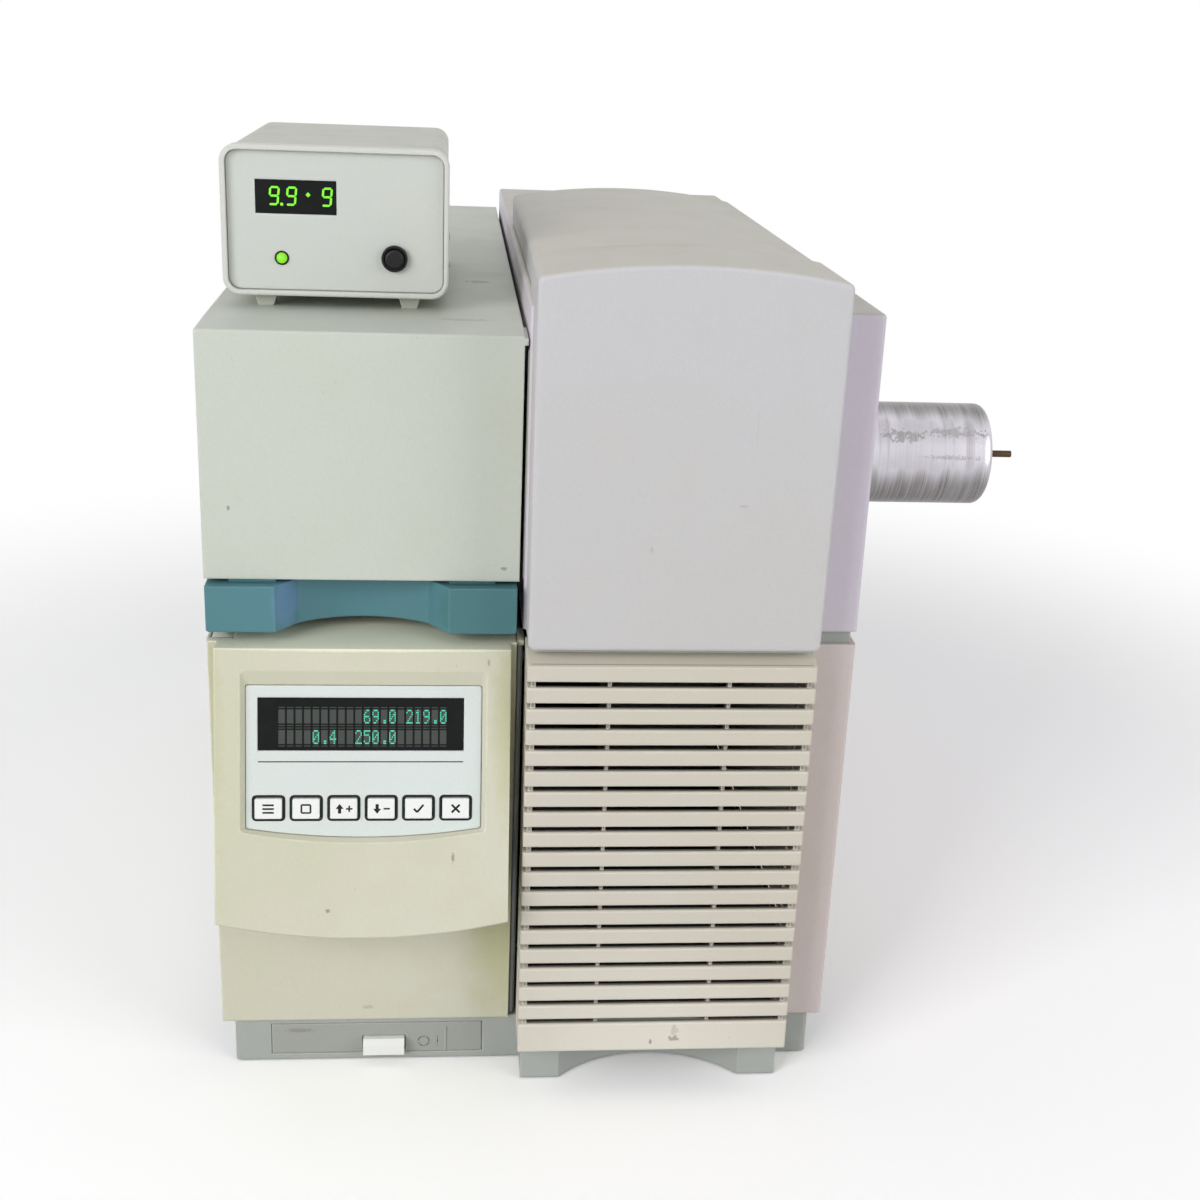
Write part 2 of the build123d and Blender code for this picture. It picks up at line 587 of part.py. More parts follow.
with BuildPart() as handle_bar:
    with BuildSketch(Plane.XY.offset(HANDLE_BOTTOM)):
        with BuildLine():
            Polyline(
                (HANDLE_X1 - FACET_OFFSET, HANDLE_Y0 + HANDLE_FACET_DEPTH),
                (HANDLE_X1 - HANDLE_BLOCK, HANDLE_Y0),
                (HANDLE_X1, HANDLE_Y0),
                (HANDLE_X1, FRONT_Y + HANDLE_BACK),
                (HANDLE_X0, FRONT_Y + HANDLE_BACK),
                (HANDLE_X0, HANDLE_Y0),
                (HANDLE_X0 + HANDLE_BLOCK, HANDLE_Y0),
                (HANDLE_X0 + FACET_OFFSET, HANDLE_Y0 + HANDLE_FACET_DEPTH),
            )
            ThreePointArc(
                (HANDLE_X0 + FACET_OFFSET, HANDLE_Y0 + HANDLE_FACET_DEPTH),
                (HANDLE_MID, HANDLE_Y0 + HANDLE_SCOOP_DEPTH),
                (HANDLE_X1 - FACET_OFFSET, HANDLE_Y0 + HANDLE_FACET_DEPTH),
            )
        make_face()
    extrude(amount=HANDLE_HEIGHT)
    lower_ends = handle_bar.edges().filter_by(Axis.Y).group_by(Axis.Z)[0]
    fillet(lower_ends, HANDLE_ROUND)
    for tab_x in (HANDLE_X0 + HANDLE_TAB_INSET, HANDLE_X1 - HANDLE_BLOCK):
        slab(
            (tab_x, tab_x + HANDLE_BLOCK - HANDLE_TAB_INSET),
            (FRONT_Y + WALL, FRONT_Y + 2 * WALL),
            (HANDLE_TOP - WALL, HANDLE_TOP + HANDLE_TAB_HEIGHT),
        )
handle_bar.part.label = "handle_bar"
export_step(handle_bar.part, "parts/handle_bar.step")

# The leaning face of the hood: X runs to the right and Y up the slope, from the middle
# of the hood's top edge.
HOOD_X0 = LEFT_X + HOOD_INSET_LEFT
HOOD_X1 = LEFT_X1 - HOOD_INSET_RIGHT
HOOD_MID = (HOOD_X0 + HOOD_X1) / 2
LEAN = radians(HOOD_TILT)
FACE = Plane(
    origin=(LEFT_X, FRONT_Y - HOOD_TOP_REACH, LOWER_TOP),
    x_dir=(1, 0, 0),
    z_dir=(0, -cos(LEAN), sin(LEAN)),
)
SMILE_END_Z = LOWER_TOP - SMILE_END_DROP
SMILE_LOW_Z = SMILE_END_Z - SMILE_SAG


def bowed_outline(plane, x_low, x_high, top, corner_drop, sag, corner):
    """Return a sketch of a rectangle whose lower edge bows down, with rounded corners."""
    with BuildSketch(plane, mode=Mode.PRIVATE) as outline:
        with BuildLine():
            Polyline((x_low, -corner_drop), (x_low, -top), (x_high, -top), (x_high, -corner_drop))
            ThreePointArc(
                (x_high, -corner_drop), ((x_low + x_high) / 2, -corner_drop - sag),
                (x_low, -corner_drop),
            )
        make_face()
        fillet(outline.vertices(), corner)
    return outline.sketch


RECESS_X1 = RECESS_X + RECESS_WIDTH
RECESS_LOW = RECESS_TOP + RECESS_HEIGHT
PANEL_X0 = RECESS_X + PANEL_SIDE_BEVEL
PANEL_X1 = RECESS_X1 - PANEL_SIDE_BEVEL
PANEL_UP = RECESS_TOP + PANEL_TOP_BEVEL
PANEL_LOW = RECESS_LOW - PANEL_SIDE_BEVEL / 2

PANEL_MID = ((PANEL_X0 + PANEL_X1) / 2, -(PANEL_UP + PANEL_LOW) / 2)
BOARD_WIDTH = PANEL_X1 - PANEL_X0
BOARD_HEIGHT = PANEL_LOW - PANEL_UP - WALL
THROUGH_WIDTH = BOARD_WIDTH - 4 * BOARD_BOSS
THROUGH_HEIGHT = BOARD_HEIGHT
CAVITY_DEPTH = (RECESS_DEPTH + PANEL_THICKNESS + LEDGE_DEPTH) / cos(LEAN)
CAVITY_TOP_Y = FRONT_Y - HOOD_TOP_REACH - WALL * tan(LEAN) + CAVITY_DEPTH
CAVITY_LOW_Y = CAVITY_TOP_Y - (LOWER_TOP - SMILE_END_Z - 2 * WALL) * tan(LEAN)

with BuildPart() as lower_left_cover:
    slab(
        (LEFT_X + FLANGE_INSET, LEFT_X1 - FLANGE_INSET), (FRONT_Y, FRONT_Y + WALL),
        (BASE_HEIGHT, LOWER_TOP),
    )
    slab(
        (LEFT_X + SIDE_PANEL_RETURN + SEAT_GAP, LEFT_X1 - FLANGE_INSET),
        (FRONT_Y, FRONT_Y + SHELF_DEPTH), (LOWER_TOP - WALL, LOWER_TOP),
    )
    with BuildSketch(Plane.YZ.offset(HOOD_X0)):
        with BuildLine():
            Polyline(
                (FRONT_Y, LOWER_TOP),
                (FRONT_Y - HOOD_TOP_REACH, LOWER_TOP),
                (FRONT_Y - HOOD_REACH, SMILE_LOW_Z),
                (FRONT_Y, SMILE_LOW_Z),
                close=True,
            )
        make_face()
    extrude(amount=HOOD_X1 - HOOD_X0)
    with BuildSketch(Plane.XZ.offset(-FRONT_Y)):
        with BuildLine():
            Polyline(
                (HOOD_X1, SMILE_END_Z), (HOOD_X1, SMILE_LOW_Z - WALL),
                (HOOD_X0, SMILE_LOW_Z - WALL), (HOOD_X0, SMILE_END_Z),
            )
            ThreePointArc(
                (HOOD_X0, SMILE_END_Z), (HOOD_MID, SMILE_LOW_Z), (HOOD_X1, SMILE_END_Z),
            )
        make_face()
    extrude(amount=HOOD_REACH + WALL, mode=Mode.SUBTRACT)
    recess_mouth = bowed_outline(
        FACE, RECESS_X, RECESS_X1, RECESS_TOP, RECESS_LOW, RECESS_SAG, RECESS_CORNER)
    recess_floor = bowed_outline(
        FACE.offset(-RECESS_DEPTH), PANEL_X0, PANEL_X1, PANEL_UP, PANEL_LOW, PANEL_SAG,
        RECESS_CORNER / 2)
    loft((recess_mouth, recess_floor), mode=Mode.SUBTRACT)
    extrude(recess_floor, amount=-PANEL_THICKNESS, mode=Mode.SUBTRACT)
    with BuildSketch(Plane.YZ.offset(HOOD_X0 + WALL)):
        with BuildLine():
            Polyline(
                (FRONT_Y + 2 * WALL, LOWER_TOP - WALL),
                (CAVITY_TOP_Y, LOWER_TOP - WALL),
                (CAVITY_LOW_Y, SMILE_END_Z + WALL),
                (FRONT_Y + 2 * WALL, SMILE_END_Z + WALL),
                close=True,
            )
        make_face()
    extrude(amount=HOOD_X1 - HOOD_X0 - 2 * WALL, mode=Mode.SUBTRACT)
    with BuildSketch(FACE.offset(-RECESS_DEPTH - PANEL_THICKNESS)):
        with Locations(PANEL_MID):
            Rectangle(THROUGH_WIDTH, THROUGH_HEIGHT)
    extrude(amount=-2 * LEDGE_DEPTH, mode=Mode.SUBTRACT)
    with BuildSketch(FACE.offset(-RECESS_DEPTH - PANEL_THICKNESS - LEDGE_DEPTH)):
        with Locations(PANEL_MID):
            with GridLocations(BOARD_WIDTH - 2 * BOARD_BOSS, BOARD_HEIGHT - 2 * BOARD_BOSS, 2, 2):
                Circle(BOARD_BOSS)
    extrude(amount=-(BOARD_DEPTH - PANEL_THICKNESS - LEDGE_DEPTH))
lower_left_cover.part.label = "lower_left_cover"
export_step(lower_left_cover.part, "parts/lower_left_cover.step")

# ---------------------------------------------------------------- control panel
PANEL_FACE = FACE.offset(-RECESS_DEPTH)
WINDOW_MID = (WINDOW_X + WINDOW_WIDTH / 2, -WINDOW_TOP - WINDOW_HEIGHT / 2)
KEY_PLACES = [(KEY_FIRST_X + i * KEY_PITCH, -KEY_CENTRE) for i in range(KEY_COUNT)]
BOARD_FACE = PANEL_FACE.offset(-BOARD_DEPTH)
KEY_STEM = BOARD_DEPTH - PANEL_THICKNESS - KEY_SWITCH_HEIGHT - KEY_TRAVEL - SEAT_GAP

with BuildPart() as control_panel:
    plate = bowed_outline(
        PANEL_FACE, PANEL_X0 + SEAT_GAP, PANEL_X1 - SEAT_GAP, PANEL_UP + SEAT_GAP,
        PANEL_LOW - SEAT_GAP, PANEL_SAG, RECESS_CORNER / 2)
    extrude(plate, amount=-PANEL_THICKNESS)
    with BuildSketch(PANEL_FACE):
        with Locations(WINDOW_MID):
            Rectangle(WINDOW_WIDTH, WINDOW_HEIGHT)
        with Locations(*KEY_PLACES):
            RectangleRounded(KEY_WIDTH + 2 * KEY_GAP, KEY_HEIGHT + 2 * KEY_GAP, KEY_ROUND + KEY_GAP)
    extrude(amount=-PANEL_THICKNESS, mode=Mode.SUBTRACT)
control_panel.part.label = "control_panel"
export_step(control_panel.part, "parts/control_panel.step")

with BuildPart() as display_window:
    with BuildSketch(PANEL_FACE.offset(-WINDOW_THICKNESS)):
        with Locations(WINDOW_MID):
            Rectangle(WINDOW_WIDTH - 2 * SEAT_GAP, WINDOW_HEIGHT - 2 * SEAT_GAP)
    extrude(amount=WINDOW_THICKNESS)
display_window.part.label = "display_window"
export_step(display_window.part, "parts/display_window.step")

# The hollow behind the panel lets the keys and the display board sit in the hood.
with BuildPart() as display_board:
    with BuildSketch(BOARD_FACE):
        with Locations(PANEL_MID):
            Rectangle(BOARD_WIDTH, BOARD_HEIGHT)
    extrude(amount=-BOARD_THICKNESS)
    with BuildSketch(BOARD_FACE):
        with Locations(WINDOW_MID):
            Rectangle(WINDOW_WIDTH - 2 * WALL, WINDOW_HEIGHT - WALL)
    extrude(amount=BOARD_DEPTH - PANEL_THICKNESS - SEAT_GAP)
    with BuildSketch(BOARD_FACE):
        with Locations(*KEY_PLACES):
            Rectangle(KEY_SWITCH_SIZE, KEY_SWITCH_SIZE)
    extrude(amount=KEY_SWITCH_HEIGHT)
display_board.part.label = "display_board"
export_step(display_board.part, "parts/display_board.step")

for i, (key_x, key_y) in enumerate(KEY_PLACES):
    with BuildPart() as key:
        with BuildSketch(PANEL_FACE.offset(-PANEL_THICKNESS)):
            with Locations((key_x, key_y)):
                RectangleRounded(KEY_WIDTH, KEY_HEIGHT, KEY_ROUND)
        extrude(amount=PANEL_THICKNESS + KEY_REACH)
        fillet(key.faces().sort_by(Axis.Y)[0].edges(), KEY_ROUND / 2)
        with BuildSketch(PANEL_FACE.offset(-PANEL_THICKNESS)):
            with Locations((key_x, key_y)):
                Circle(KEY_STEM_RADIUS)
        extrude(amount=-KEY_STEM)
    key.part.label = f"key_{i + 1}"
    export_step(key.part, f"parts/key_{i + 1}.step")

# ================================================================ right-hand unit
def arch_outline(plane, x_low, x_high, bottom, side_top, rise, corner):
    """Return a sketch of an upright panel whose top is one shallow arc."""
    with BuildSketch(plane, mode=Mode.PRIVATE) as outline:
        with BuildLine():
            Polyline((x_low, side_top), (x_low, bottom), (x_high, bottom), (x_high, side_top))
            ThreePointArc(
                (x_high, side_top), ((x_low + x_high) / 2, side_top + rise), (x_low, side_top),
            )
        make_face()
        fillet(outline.vertices().group_by(Axis.Z)[-1], corner)
    return outline.sketch


def upright(y):
    """Return the vertical plane at a depth, with X to the right and Z up."""
    return Plane(origin=(0, y, 0), x_dir=(1, 0, 0), z_dir=(0, -1, 0))


BEZEL_Y0 = FRONT_Y - BEZEL_TOP_REACH
BEZEL_Y1 = FRONT_Y + BEZEL_LIP

with BuildPart() as right_front_bezel:
    outer = arch_outline(
        upright(BEZEL_Y1), MODULE_X0, MODULE_X1, BEZEL_BOTTOM, BEZEL_SIDE_TOP, ARCH_RISE, ARCH_ROUND)
    extrude(outer, amount=BEZEL_Y1 - BEZEL_Y0)
    with BuildSketch(Plane.YZ.offset(MODULE_X0 - WALL)):
        with BuildLine():
            Polyline(
                (FRONT_Y - BEZEL_REACH, BEZEL_BOTTOM), (BEZEL_Y0, BEZEL_SIDE_TOP + ARCH_RISE),
                (BEZEL_Y0 - WALL, BEZEL_SIDE_TOP + ARCH_RISE), (BEZEL_Y0 - WALL, BEZEL_BOTTOM),
                close=True,
            )
        make_face()
    extrude(amount=MODULE_WIDTH + 2 * WALL, mode=Mode.SUBTRACT)
    fillet(right_front_bezel.faces().sort_by(Axis.Y)[0].edges(), BEZEL_ROUND)
    inner = arch_outline(
        upright(BEZEL_Y1), MODULE_X0 + WALL, MODULE_X1 - WALL, BEZEL_BOTTOM + WALL,
        BEZEL_SIDE_TOP - WALL, ARCH_RISE, ARCH_ROUND / 2)
    extrude(inner, amount=BEZEL_LIP + BEZEL_REACH - WALL, mode=Mode.SUBTRACT)
    slab(
        (MODULE_X0 - WALL, MODULE_X1 + WALL), (FRONT_Y - SEAT_GAP, BEZEL_Y1 + WALL),
        (BEZEL_BOTTOM - WALL, RIGHT_HOUSING_TOP + SEAT_GAP), mode=Mode.SUBTRACT,
    )
right_front_bezel.part.label = "right_front_bezel"
export_step(right_front_bezel.part, "parts/right_front_bezel.step")

ARCH_Y0 = BEZEL_Y1 + SEAT_GAP
ARCH_Y1 = FRONT_Y + ARCH_BACK
with BuildPart() as arched_top_cover:
    outer = arch_outline(
        upright(ARCH_Y1), MODULE_X0 + ARCH_INSET, MODULE_X1 - ARCH_INSET, RIGHT_HOUSING_TOP,
        BEZEL_SIDE_TOP - ARCH_INSET, ARCH_RISE, ARCH_ROUND)
    extrude(outer, amount=ARCH_Y1 - ARCH_Y0)
    inner = arch_outline(
        upright(ARCH_Y1 - WALL), MODULE_X0 + ARCH_INSET + WALL, MODULE_X1 - ARCH_INSET - WALL,
        RIGHT_HOUSING_TOP, BEZEL_SIDE_TOP - ARCH_INSET - WALL, ARCH_RISE, ARCH_ROUND / 2)
    extrude(inner, amount=ARCH_Y1 - ARCH_Y0, mode=Mode.SUBTRACT)
arched_top_cover.part.label = "arched_top_cover"
export_step(arched_top_cover.part, "parts/arched_top_cover.step")

# The louvre: each gap runs across the front and back along both sides, and the slat
# below it has a bevelled upper edge. Corner posts and two inner posts carry the slats.
LOUVRE_Y0 = FRONT_Y - LOUVRE_REACH
SLAT_Y1 = FRONT_Y - SLAT_BACK_MARGIN

with BuildPart() as louvre_grille:
    with BuildSketch(Plane.YZ.offset(MODULE_X0)):
        with BuildLine():
            Polyline(
                (FRONT_Y, LOUVRE_BOTTOM), (LOUVRE_Y0, LOUVRE_BOTTOM), (LOUVRE_Y0, LOUVRE_SHOULDER),
                (LOUVRE_Y0 + LOUVRE_LEDGE, LOUVRE_TOP), (FRONT_Y, LOUVRE_TOP), close=True,
            )
        make_face()
    extrude(amount=MODULE_WIDTH)
    upright_edges = louvre_grille.edges().filter_by(Axis.Z).group_by(Axis.Y)[0]
    fillet(upright_edges, EDGE_ROUND / 2)
    slab(
        (MODULE_X0 + WALL, MODULE_X1 - WALL), (LOUVRE_Y0 + WALL, FRONT_Y),
        (LOUVRE_BOTTOM, LOUVRE_SHOULDER - WALL), mode=Mode.SUBTRACT,
    )
    slab(
        (MODULE_X0, MODULE_X1), (LOUVRE_Y0 + WALL, FRONT_Y),
        (LOUVRE_BOTTOM, BASE_HEIGHT + SEAT_GAP), mode=Mode.SUBTRACT,
    )
    for i in range(SLAT_COUNT):
        slat_top = LOUVRE_SHOULDER - (i + 1) * SLAT_PITCH
        with BuildSketch(Plane.YZ.offset(MODULE_X0 - WALL)):
            with BuildLine():
                Polyline(
                    (LOUVRE_Y0 - WALL, slat_top + SLAT_GAP),
                    (LOUVRE_Y0 + WALL + SHEET, slat_top + SLAT_GAP),
                    (LOUVRE_Y0 + WALL + SHEET, slat_top), (LOUVRE_Y0 + SLAT_BEVEL, slat_top),
                    (LOUVRE_Y0, slat_top - SLAT_BEVEL),
                    (LOUVRE_Y0 - WALL, slat_top - SLAT_BEVEL), close=True,
                )
            make_face()
        extrude(amount=MODULE_WIDTH + 2 * WALL, mode=Mode.SUBTRACT)
        slab(
            (MODULE_X0 - WALL, MODULE_X1 + WALL), (LOUVRE_Y0 - WALL, SLAT_Y1),
            (slat_top, slat_top + SLAT_GAP), mode=Mode.SUBTRACT,
        )
    post_z = (BASE_HEIGHT + SEAT_GAP, LOUVRE_SHOULDER - WALL / 2)
    post_y0 = LOUVRE_Y0 + WALL - SLAT_BEVEL
    for share in POST_SHARES:
        post_x = MODULE_X0 + share * MODULE_WIDTH
        slab(
            (post_x - POST_WIDTH / 2, post_x + POST_WIDTH / 2),
            (post_y0, post_y0 + POST_DEPTH), post_z,
        )
    for post_x in (MODULE_X0 + CORNER_INSET, MODULE_X1 - CORNER_INSET - CORNER_POST):
        slab(
            (post_x, post_x + CORNER_POST),
            (LOUVRE_Y0 + CORNER_INSET, LOUVRE_Y0 + CORNER_INSET + CORNER_POST), post_z,
        )
louvre_grille.part.label = "louvre_grille"
export_step(louvre_grille.part, "parts/louvre_grille.step")

TUBE_AXIS = (FRONT_Y + TUBE_Y, AXIS_Z)
with BuildPart() as right_upper_housing:
    slab((RIGHT_X0, RIGHT_X1), (FRONT_Y, BACK_Y), (RIGHT_HOUSING_BOTTOM, RIGHT_HOUSING_TOP))
    upright_edges = right_upper_housing.edges().filter_by(Axis.Z)
    top_edges = right_upper_housing.faces().sort_by(Axis.Z)[-1].edges()
    fillet(upright_edges + top_edges, EDGE_ROUND)
    slab(
        (RIGHT_X0 + WALL, RIGHT_X1 - WALL), (FRONT_Y + WALL, BACK_Y - WALL),
        (RIGHT_HOUSING_BOTTOM, RIGHT_HOUSING_TOP - WALL), mode=Mode.SUBTRACT,
    )
    rod(
        (RIGHT_X0 - WALL, *TUBE_AXIS), (1, 0, 0), TUBE_RADIUS + SLIDE_GAP,
        RIGHT_UNIT_WIDTH + 2 * WALL, mode=Mode.SUBTRACT,
    )
    with BuildSketch(upright(BACK_Y + WALL)):
        with Locations((MODULE_MID, (RIGHT_HOUSING_BOTTOM + RIGHT_HOUSING_TOP) / 2)):
            with GridLocations(0, VENT_PITCH, 1, 9):
                SlotOverall(MODULE_WIDTH / 2, VENT_GAP + SHEET)
    extrude(amount=3 * WALL, mode=Mode.SUBTRACT)
right_upper_housing.part.label = "right_upper_housing"
export_step(right_upper_housing.part, "parts/right_upper_housing.step")

RETURN_X0 = MODULE_X1 + SEAT_GAP
with BuildPart() as right_lower_housing:
    slab((RETURN_X0, RIGHT_X1), (FRONT_Y, BACK_Y - SEAT_GAP), (BASE_HEIGHT, LOWER_TOP))
    upright_edges = right_lower_housing.edges().filter_by(Axis.Z).group_by(Axis.X)[-1]
    fillet(upright_edges, EDGE_ROUND)
    slab(
        (RETURN_X0 - WALL, RIGHT_X1 - WALL), (FRONT_Y + WALL, BACK_Y),
        (BASE_HEIGHT, LOWER_TOP - WALL), mode=Mode.SUBTRACT,
    )
    slab(
        (RETURN_X0 - WALL, RIGHT_X1 - 4 * WALL), (FRONT_Y + WALL, BACK_Y),
        (BASE_HEIGHT, LOWER_TOP), mode=Mode.SUBTRACT,
    )
right_lower_housing.part.label = "right_lower_housing"
export_step(right_lower_housing.part, "parts/right_lower_housing.step")

# ================================================================ back of the cabinet
REAR_Y0 = INNER_BACK_Y - SHEET
FAN_CENTRE = (LEFT_X + FAN_X, FAN_Z)
FAN_Y1 = REAR_Y0
FAN_Y0 = FAN_Y1 - FAN_DEPTH
FORELINE_PLACE = (LEFT_X + FORELINE_X, FORELINE_Z)
INLET_PLACE = (LEFT_X + INLET_X, INLET_Z)
CONNECTOR_PLACES = [(LEFT_X + x, CONNECTOR_Z) for x in CONNECTOR_XS]

with BuildPart() as rear_panel:
    with BuildSketch(upright(INNER_BACK_Y)) as rear_outline:
        with BuildLine():
            Polyline(
                (LEFT_X + 2 * SHEET, BASE_HEIGHT), (RIGHT_X1 - WALL - SEAT_GAP, BASE_HEIGHT),
                (RIGHT_X1 - WALL - SEAT_GAP, LOWER_TOP - WALL - SEAT_GAP),
                (LEFT_X1 - WALL, LOWER_TOP - WALL - SEAT_GAP), (LEFT_X1 - WALL, PANEL_TOP),
                (LEFT_X + 2 * SHEET, PANEL_TOP), close=True,
            )
        make_face()
        with Locations(FAN_CENTRE):
            Circle(FAN_SIZE / 2 - SHEET, mode=Mode.SUBTRACT)
        with Locations(FORELINE_PLACE):
            Circle(FORELINE_RADIUS + SEAT_GAP, mode=Mode.SUBTRACT)
        with Locations(INLET_PLACE):
            Rectangle(*[side + 2 * SEAT_GAP for side in INLET_SIZE], mode=Mode.SUBTRACT)
        with Locations(*CONNECTOR_PLACES):
            Rectangle(*[side + 2 * SEAT_GAP for side in CONNECTOR_SIZE], mode=Mode.SUBTRACT)
        with Locations((LEFT_X + VENT_X, VENT_Z)):
            with GridLocations(VENT_PITCH, 0, VENT_COUNT, 1):
                SlotOverall(VENT_LENGTH, VENT_GAP + SHEET, rotation=90, mode=Mode.SUBTRACT)
    extrude(amount=SHEET)
rear_panel.part.label = "rear_panel"
export_step(rear_panel.part, "parts/rear_panel.step")

with BuildPart() as fan_frame:
    with BuildSketch(upright(FAN_Y1)):
        with Locations(FAN_CENTRE):
            RectangleRounded(FAN_SIZE, FAN_SIZE, EDGE_ROUND)
            Circle(FAN_SIZE / 2 - SHEET, mode=Mode.SUBTRACT)
    extrude(amount=FAN_DEPTH)
    with BuildSketch(upright(FAN_Y0 + WALL)):
        with Locations(FAN_CENTRE):
            with PolarLocations(0, 4, start_angle=45):
                Rectangle(FAN_SIZE / 2, WALL, align=(Align.MIN, Align.CENTER))
            Circle(FAN_HUB_RADIUS)
    extrude(amount=WALL)
    rod((FAN_CENTRE[0], FAN_Y0, FAN_CENTRE[1]), (0, 1, 0), WALL, FAN_DEPTH / 2)
fan_frame.part.label = "fan_frame"
export_step(fan_frame.part, "parts/fan_frame.step")

# Seven pitched blades on a cup-shaped hub that turns on the frame's spindle.
HUB_Y0 = FAN_Y0 + WALL + SLIDE_GAP
HUB_Y1 = FAN_Y1 - WALL
BLADE_TIP = FAN_SIZE / 2 - SHEET - FAN_TIP_GAP
with BuildPart() as fan_impeller:
    rod((FAN_CENTRE[0], HUB_Y0, FAN_CENTRE[1]), (0, 1, 0), FAN_HUB_RADIUS, HUB_Y1 - HUB_Y0)
    for i in range(FAN_BLADES):
        blade_plane = Plane(
            origin=(FAN_CENTRE[0], (HUB_Y0 + HUB_Y1) / 2, FAN_CENTRE[1]),
            x_dir=(0, 1, 0),
            z_dir=(cos(2 * pi * i / FAN_BLADES), 0, sin(2 * pi * i / FAN_BLADES)),
        )
        with BuildSketch(blade_plane.offset(FAN_HUB_RADIUS - WALL)):
            Rectangle(FAN_BLADE_CHORD, SHEET, rotation=FAN_BLADE_TILT)
        extrude(amount=BLADE_TIP - FAN_HUB_RADIUS + WALL - EDGE_ROUND)
    rod(
        (FAN_CENTRE[0], HUB_Y0 - WALL, FAN_CENTRE[1]), (0, 1, 0), WALL + SLIDE_GAP,
        FAN_DEPTH / 2, mode=Mode.SUBTRACT,
    )
fan_impeller.part.label = "fan_impeller"
export_step(fan_impeller.part, "parts/fan_impeller.step")

with BuildPart() as fan_guard:
    with BuildSketch(upright(INNER_BACK_Y + GUARD_WIRE)):
        with Locations(FAN_CENTRE):
            for ring in range(GUARD_RINGS, 0, -1):
                radius = ring * FAN_SIZE / 2 / GUARD_RINGS
                Circle(radius)
                Circle(radius - GUARD_WIRE, mode=Mode.SUBTRACT)
            with PolarLocations(0, 4, start_angle=45):
                Rectangle(
                    FAN_SIZE / 2 + 3.5 * WALL, GUARD_WIRE, align=(Align.MIN, Align.CENTER))
            with GridLocations(FAN_SIZE - 3 * WALL, FAN_SIZE - 3 * WALL, 2, 2):
                Circle(WALL)
    extrude(amount=GUARD_WIRE)
fan_guard.part.label = "fan_guard"
export_step(fan_guard.part, "parts/fan_guard.step")

with BuildPart() as power_inlet:
    with BuildSketch(upright(BACK_Y)):
        with Locations(INLET_PLACE):
            RectangleRounded(INLET_SIZE[0] + 4 * WALL, INLET_SIZE[1] + 2 * WALL, EDGE_ROUND)
    extrude(amount=BACK_Y - INNER_BACK_Y)
    with BuildSketch(upright(BACK_Y)):
        with Locations(INLET_PLACE):
            Rectangle(*INLET_SIZE)
    extrude(amount=INLET_DEPTH + WALL)
    with BuildSketch(upright(BACK_Y)) as socket:
        with Locations(INLET_PLACE):
            Rectangle(INLET_SIZE[0] - 2 * SHEET, INLET_SIZE[1] - 4 * WALL)
        chamfer(socket.vertices().group_by(Axis.Z)[-1], WALL)
    extrude(amount=INLET_DEPTH, mode=Mode.SUBTRACT)
    with BuildSketch(upright(BACK_Y - WALL)):
        with Locations(INLET_PLACE):
            with Locations(
                (-INLET_PIN_SPREAD, -INLET_PIN_DROP), (0, INLET_PIN_DROP),
                (INLET_PIN_SPREAD, -INLET_PIN_DROP),
            ):
                Rectangle(*INLET_PIN_SIZE)
    extrude(amount=INLET_DEPTH)
power_inlet.part.label = "power_inlet"
export_step(power_inlet.part, "parts/power_inlet.step")

with BuildPart() as rear_connectors:
    for place in CONNECTOR_PLACES:
        with BuildSketch(upright(BACK_Y)):
            with Locations(place):
                RectangleRounded(
                    CONNECTOR_SIZE[0] + 4 * WALL, CONNECTOR_SIZE[1] + SHEET, SHEET / 2)
        extrude(amount=BACK_Y - INNER_BACK_Y)
        with BuildSketch(upright(BACK_Y + WALL)):
            with Locations(place):
                RectangleRounded(*CONNECTOR_SIZE, EDGE_ROUND)
        extrude(amount=WALL + CONNECTOR_DEPTH)
        with BuildSketch(upright(BACK_Y + WALL)):
            with Locations(place):
                RectangleRounded(
                    CONNECTOR_SIZE[0] - SHEET, CONNECTOR_SIZE[1] - SHEET, EDGE_ROUND / 2)
        extrude(amount=SHEET, mode=Mode.SUBTRACT)
rear_connectors.part.label = "rear_connectors"
export_step(rear_connectors.part, "parts/rear_connectors.step")

# ================================================================ vacuum side
BEAM_X = LEFT_X + AXIS_X
BODY_X = span(LEFT_X, MANIFOLD_X)
BODY_Y = span(FRONT_Y, MANIFOLD_Y)
TUBE_MOUTH = (BODY_X[1], *TUBE_AXIS)
TUBE_BORE = TUBE_RADIUS - WALL

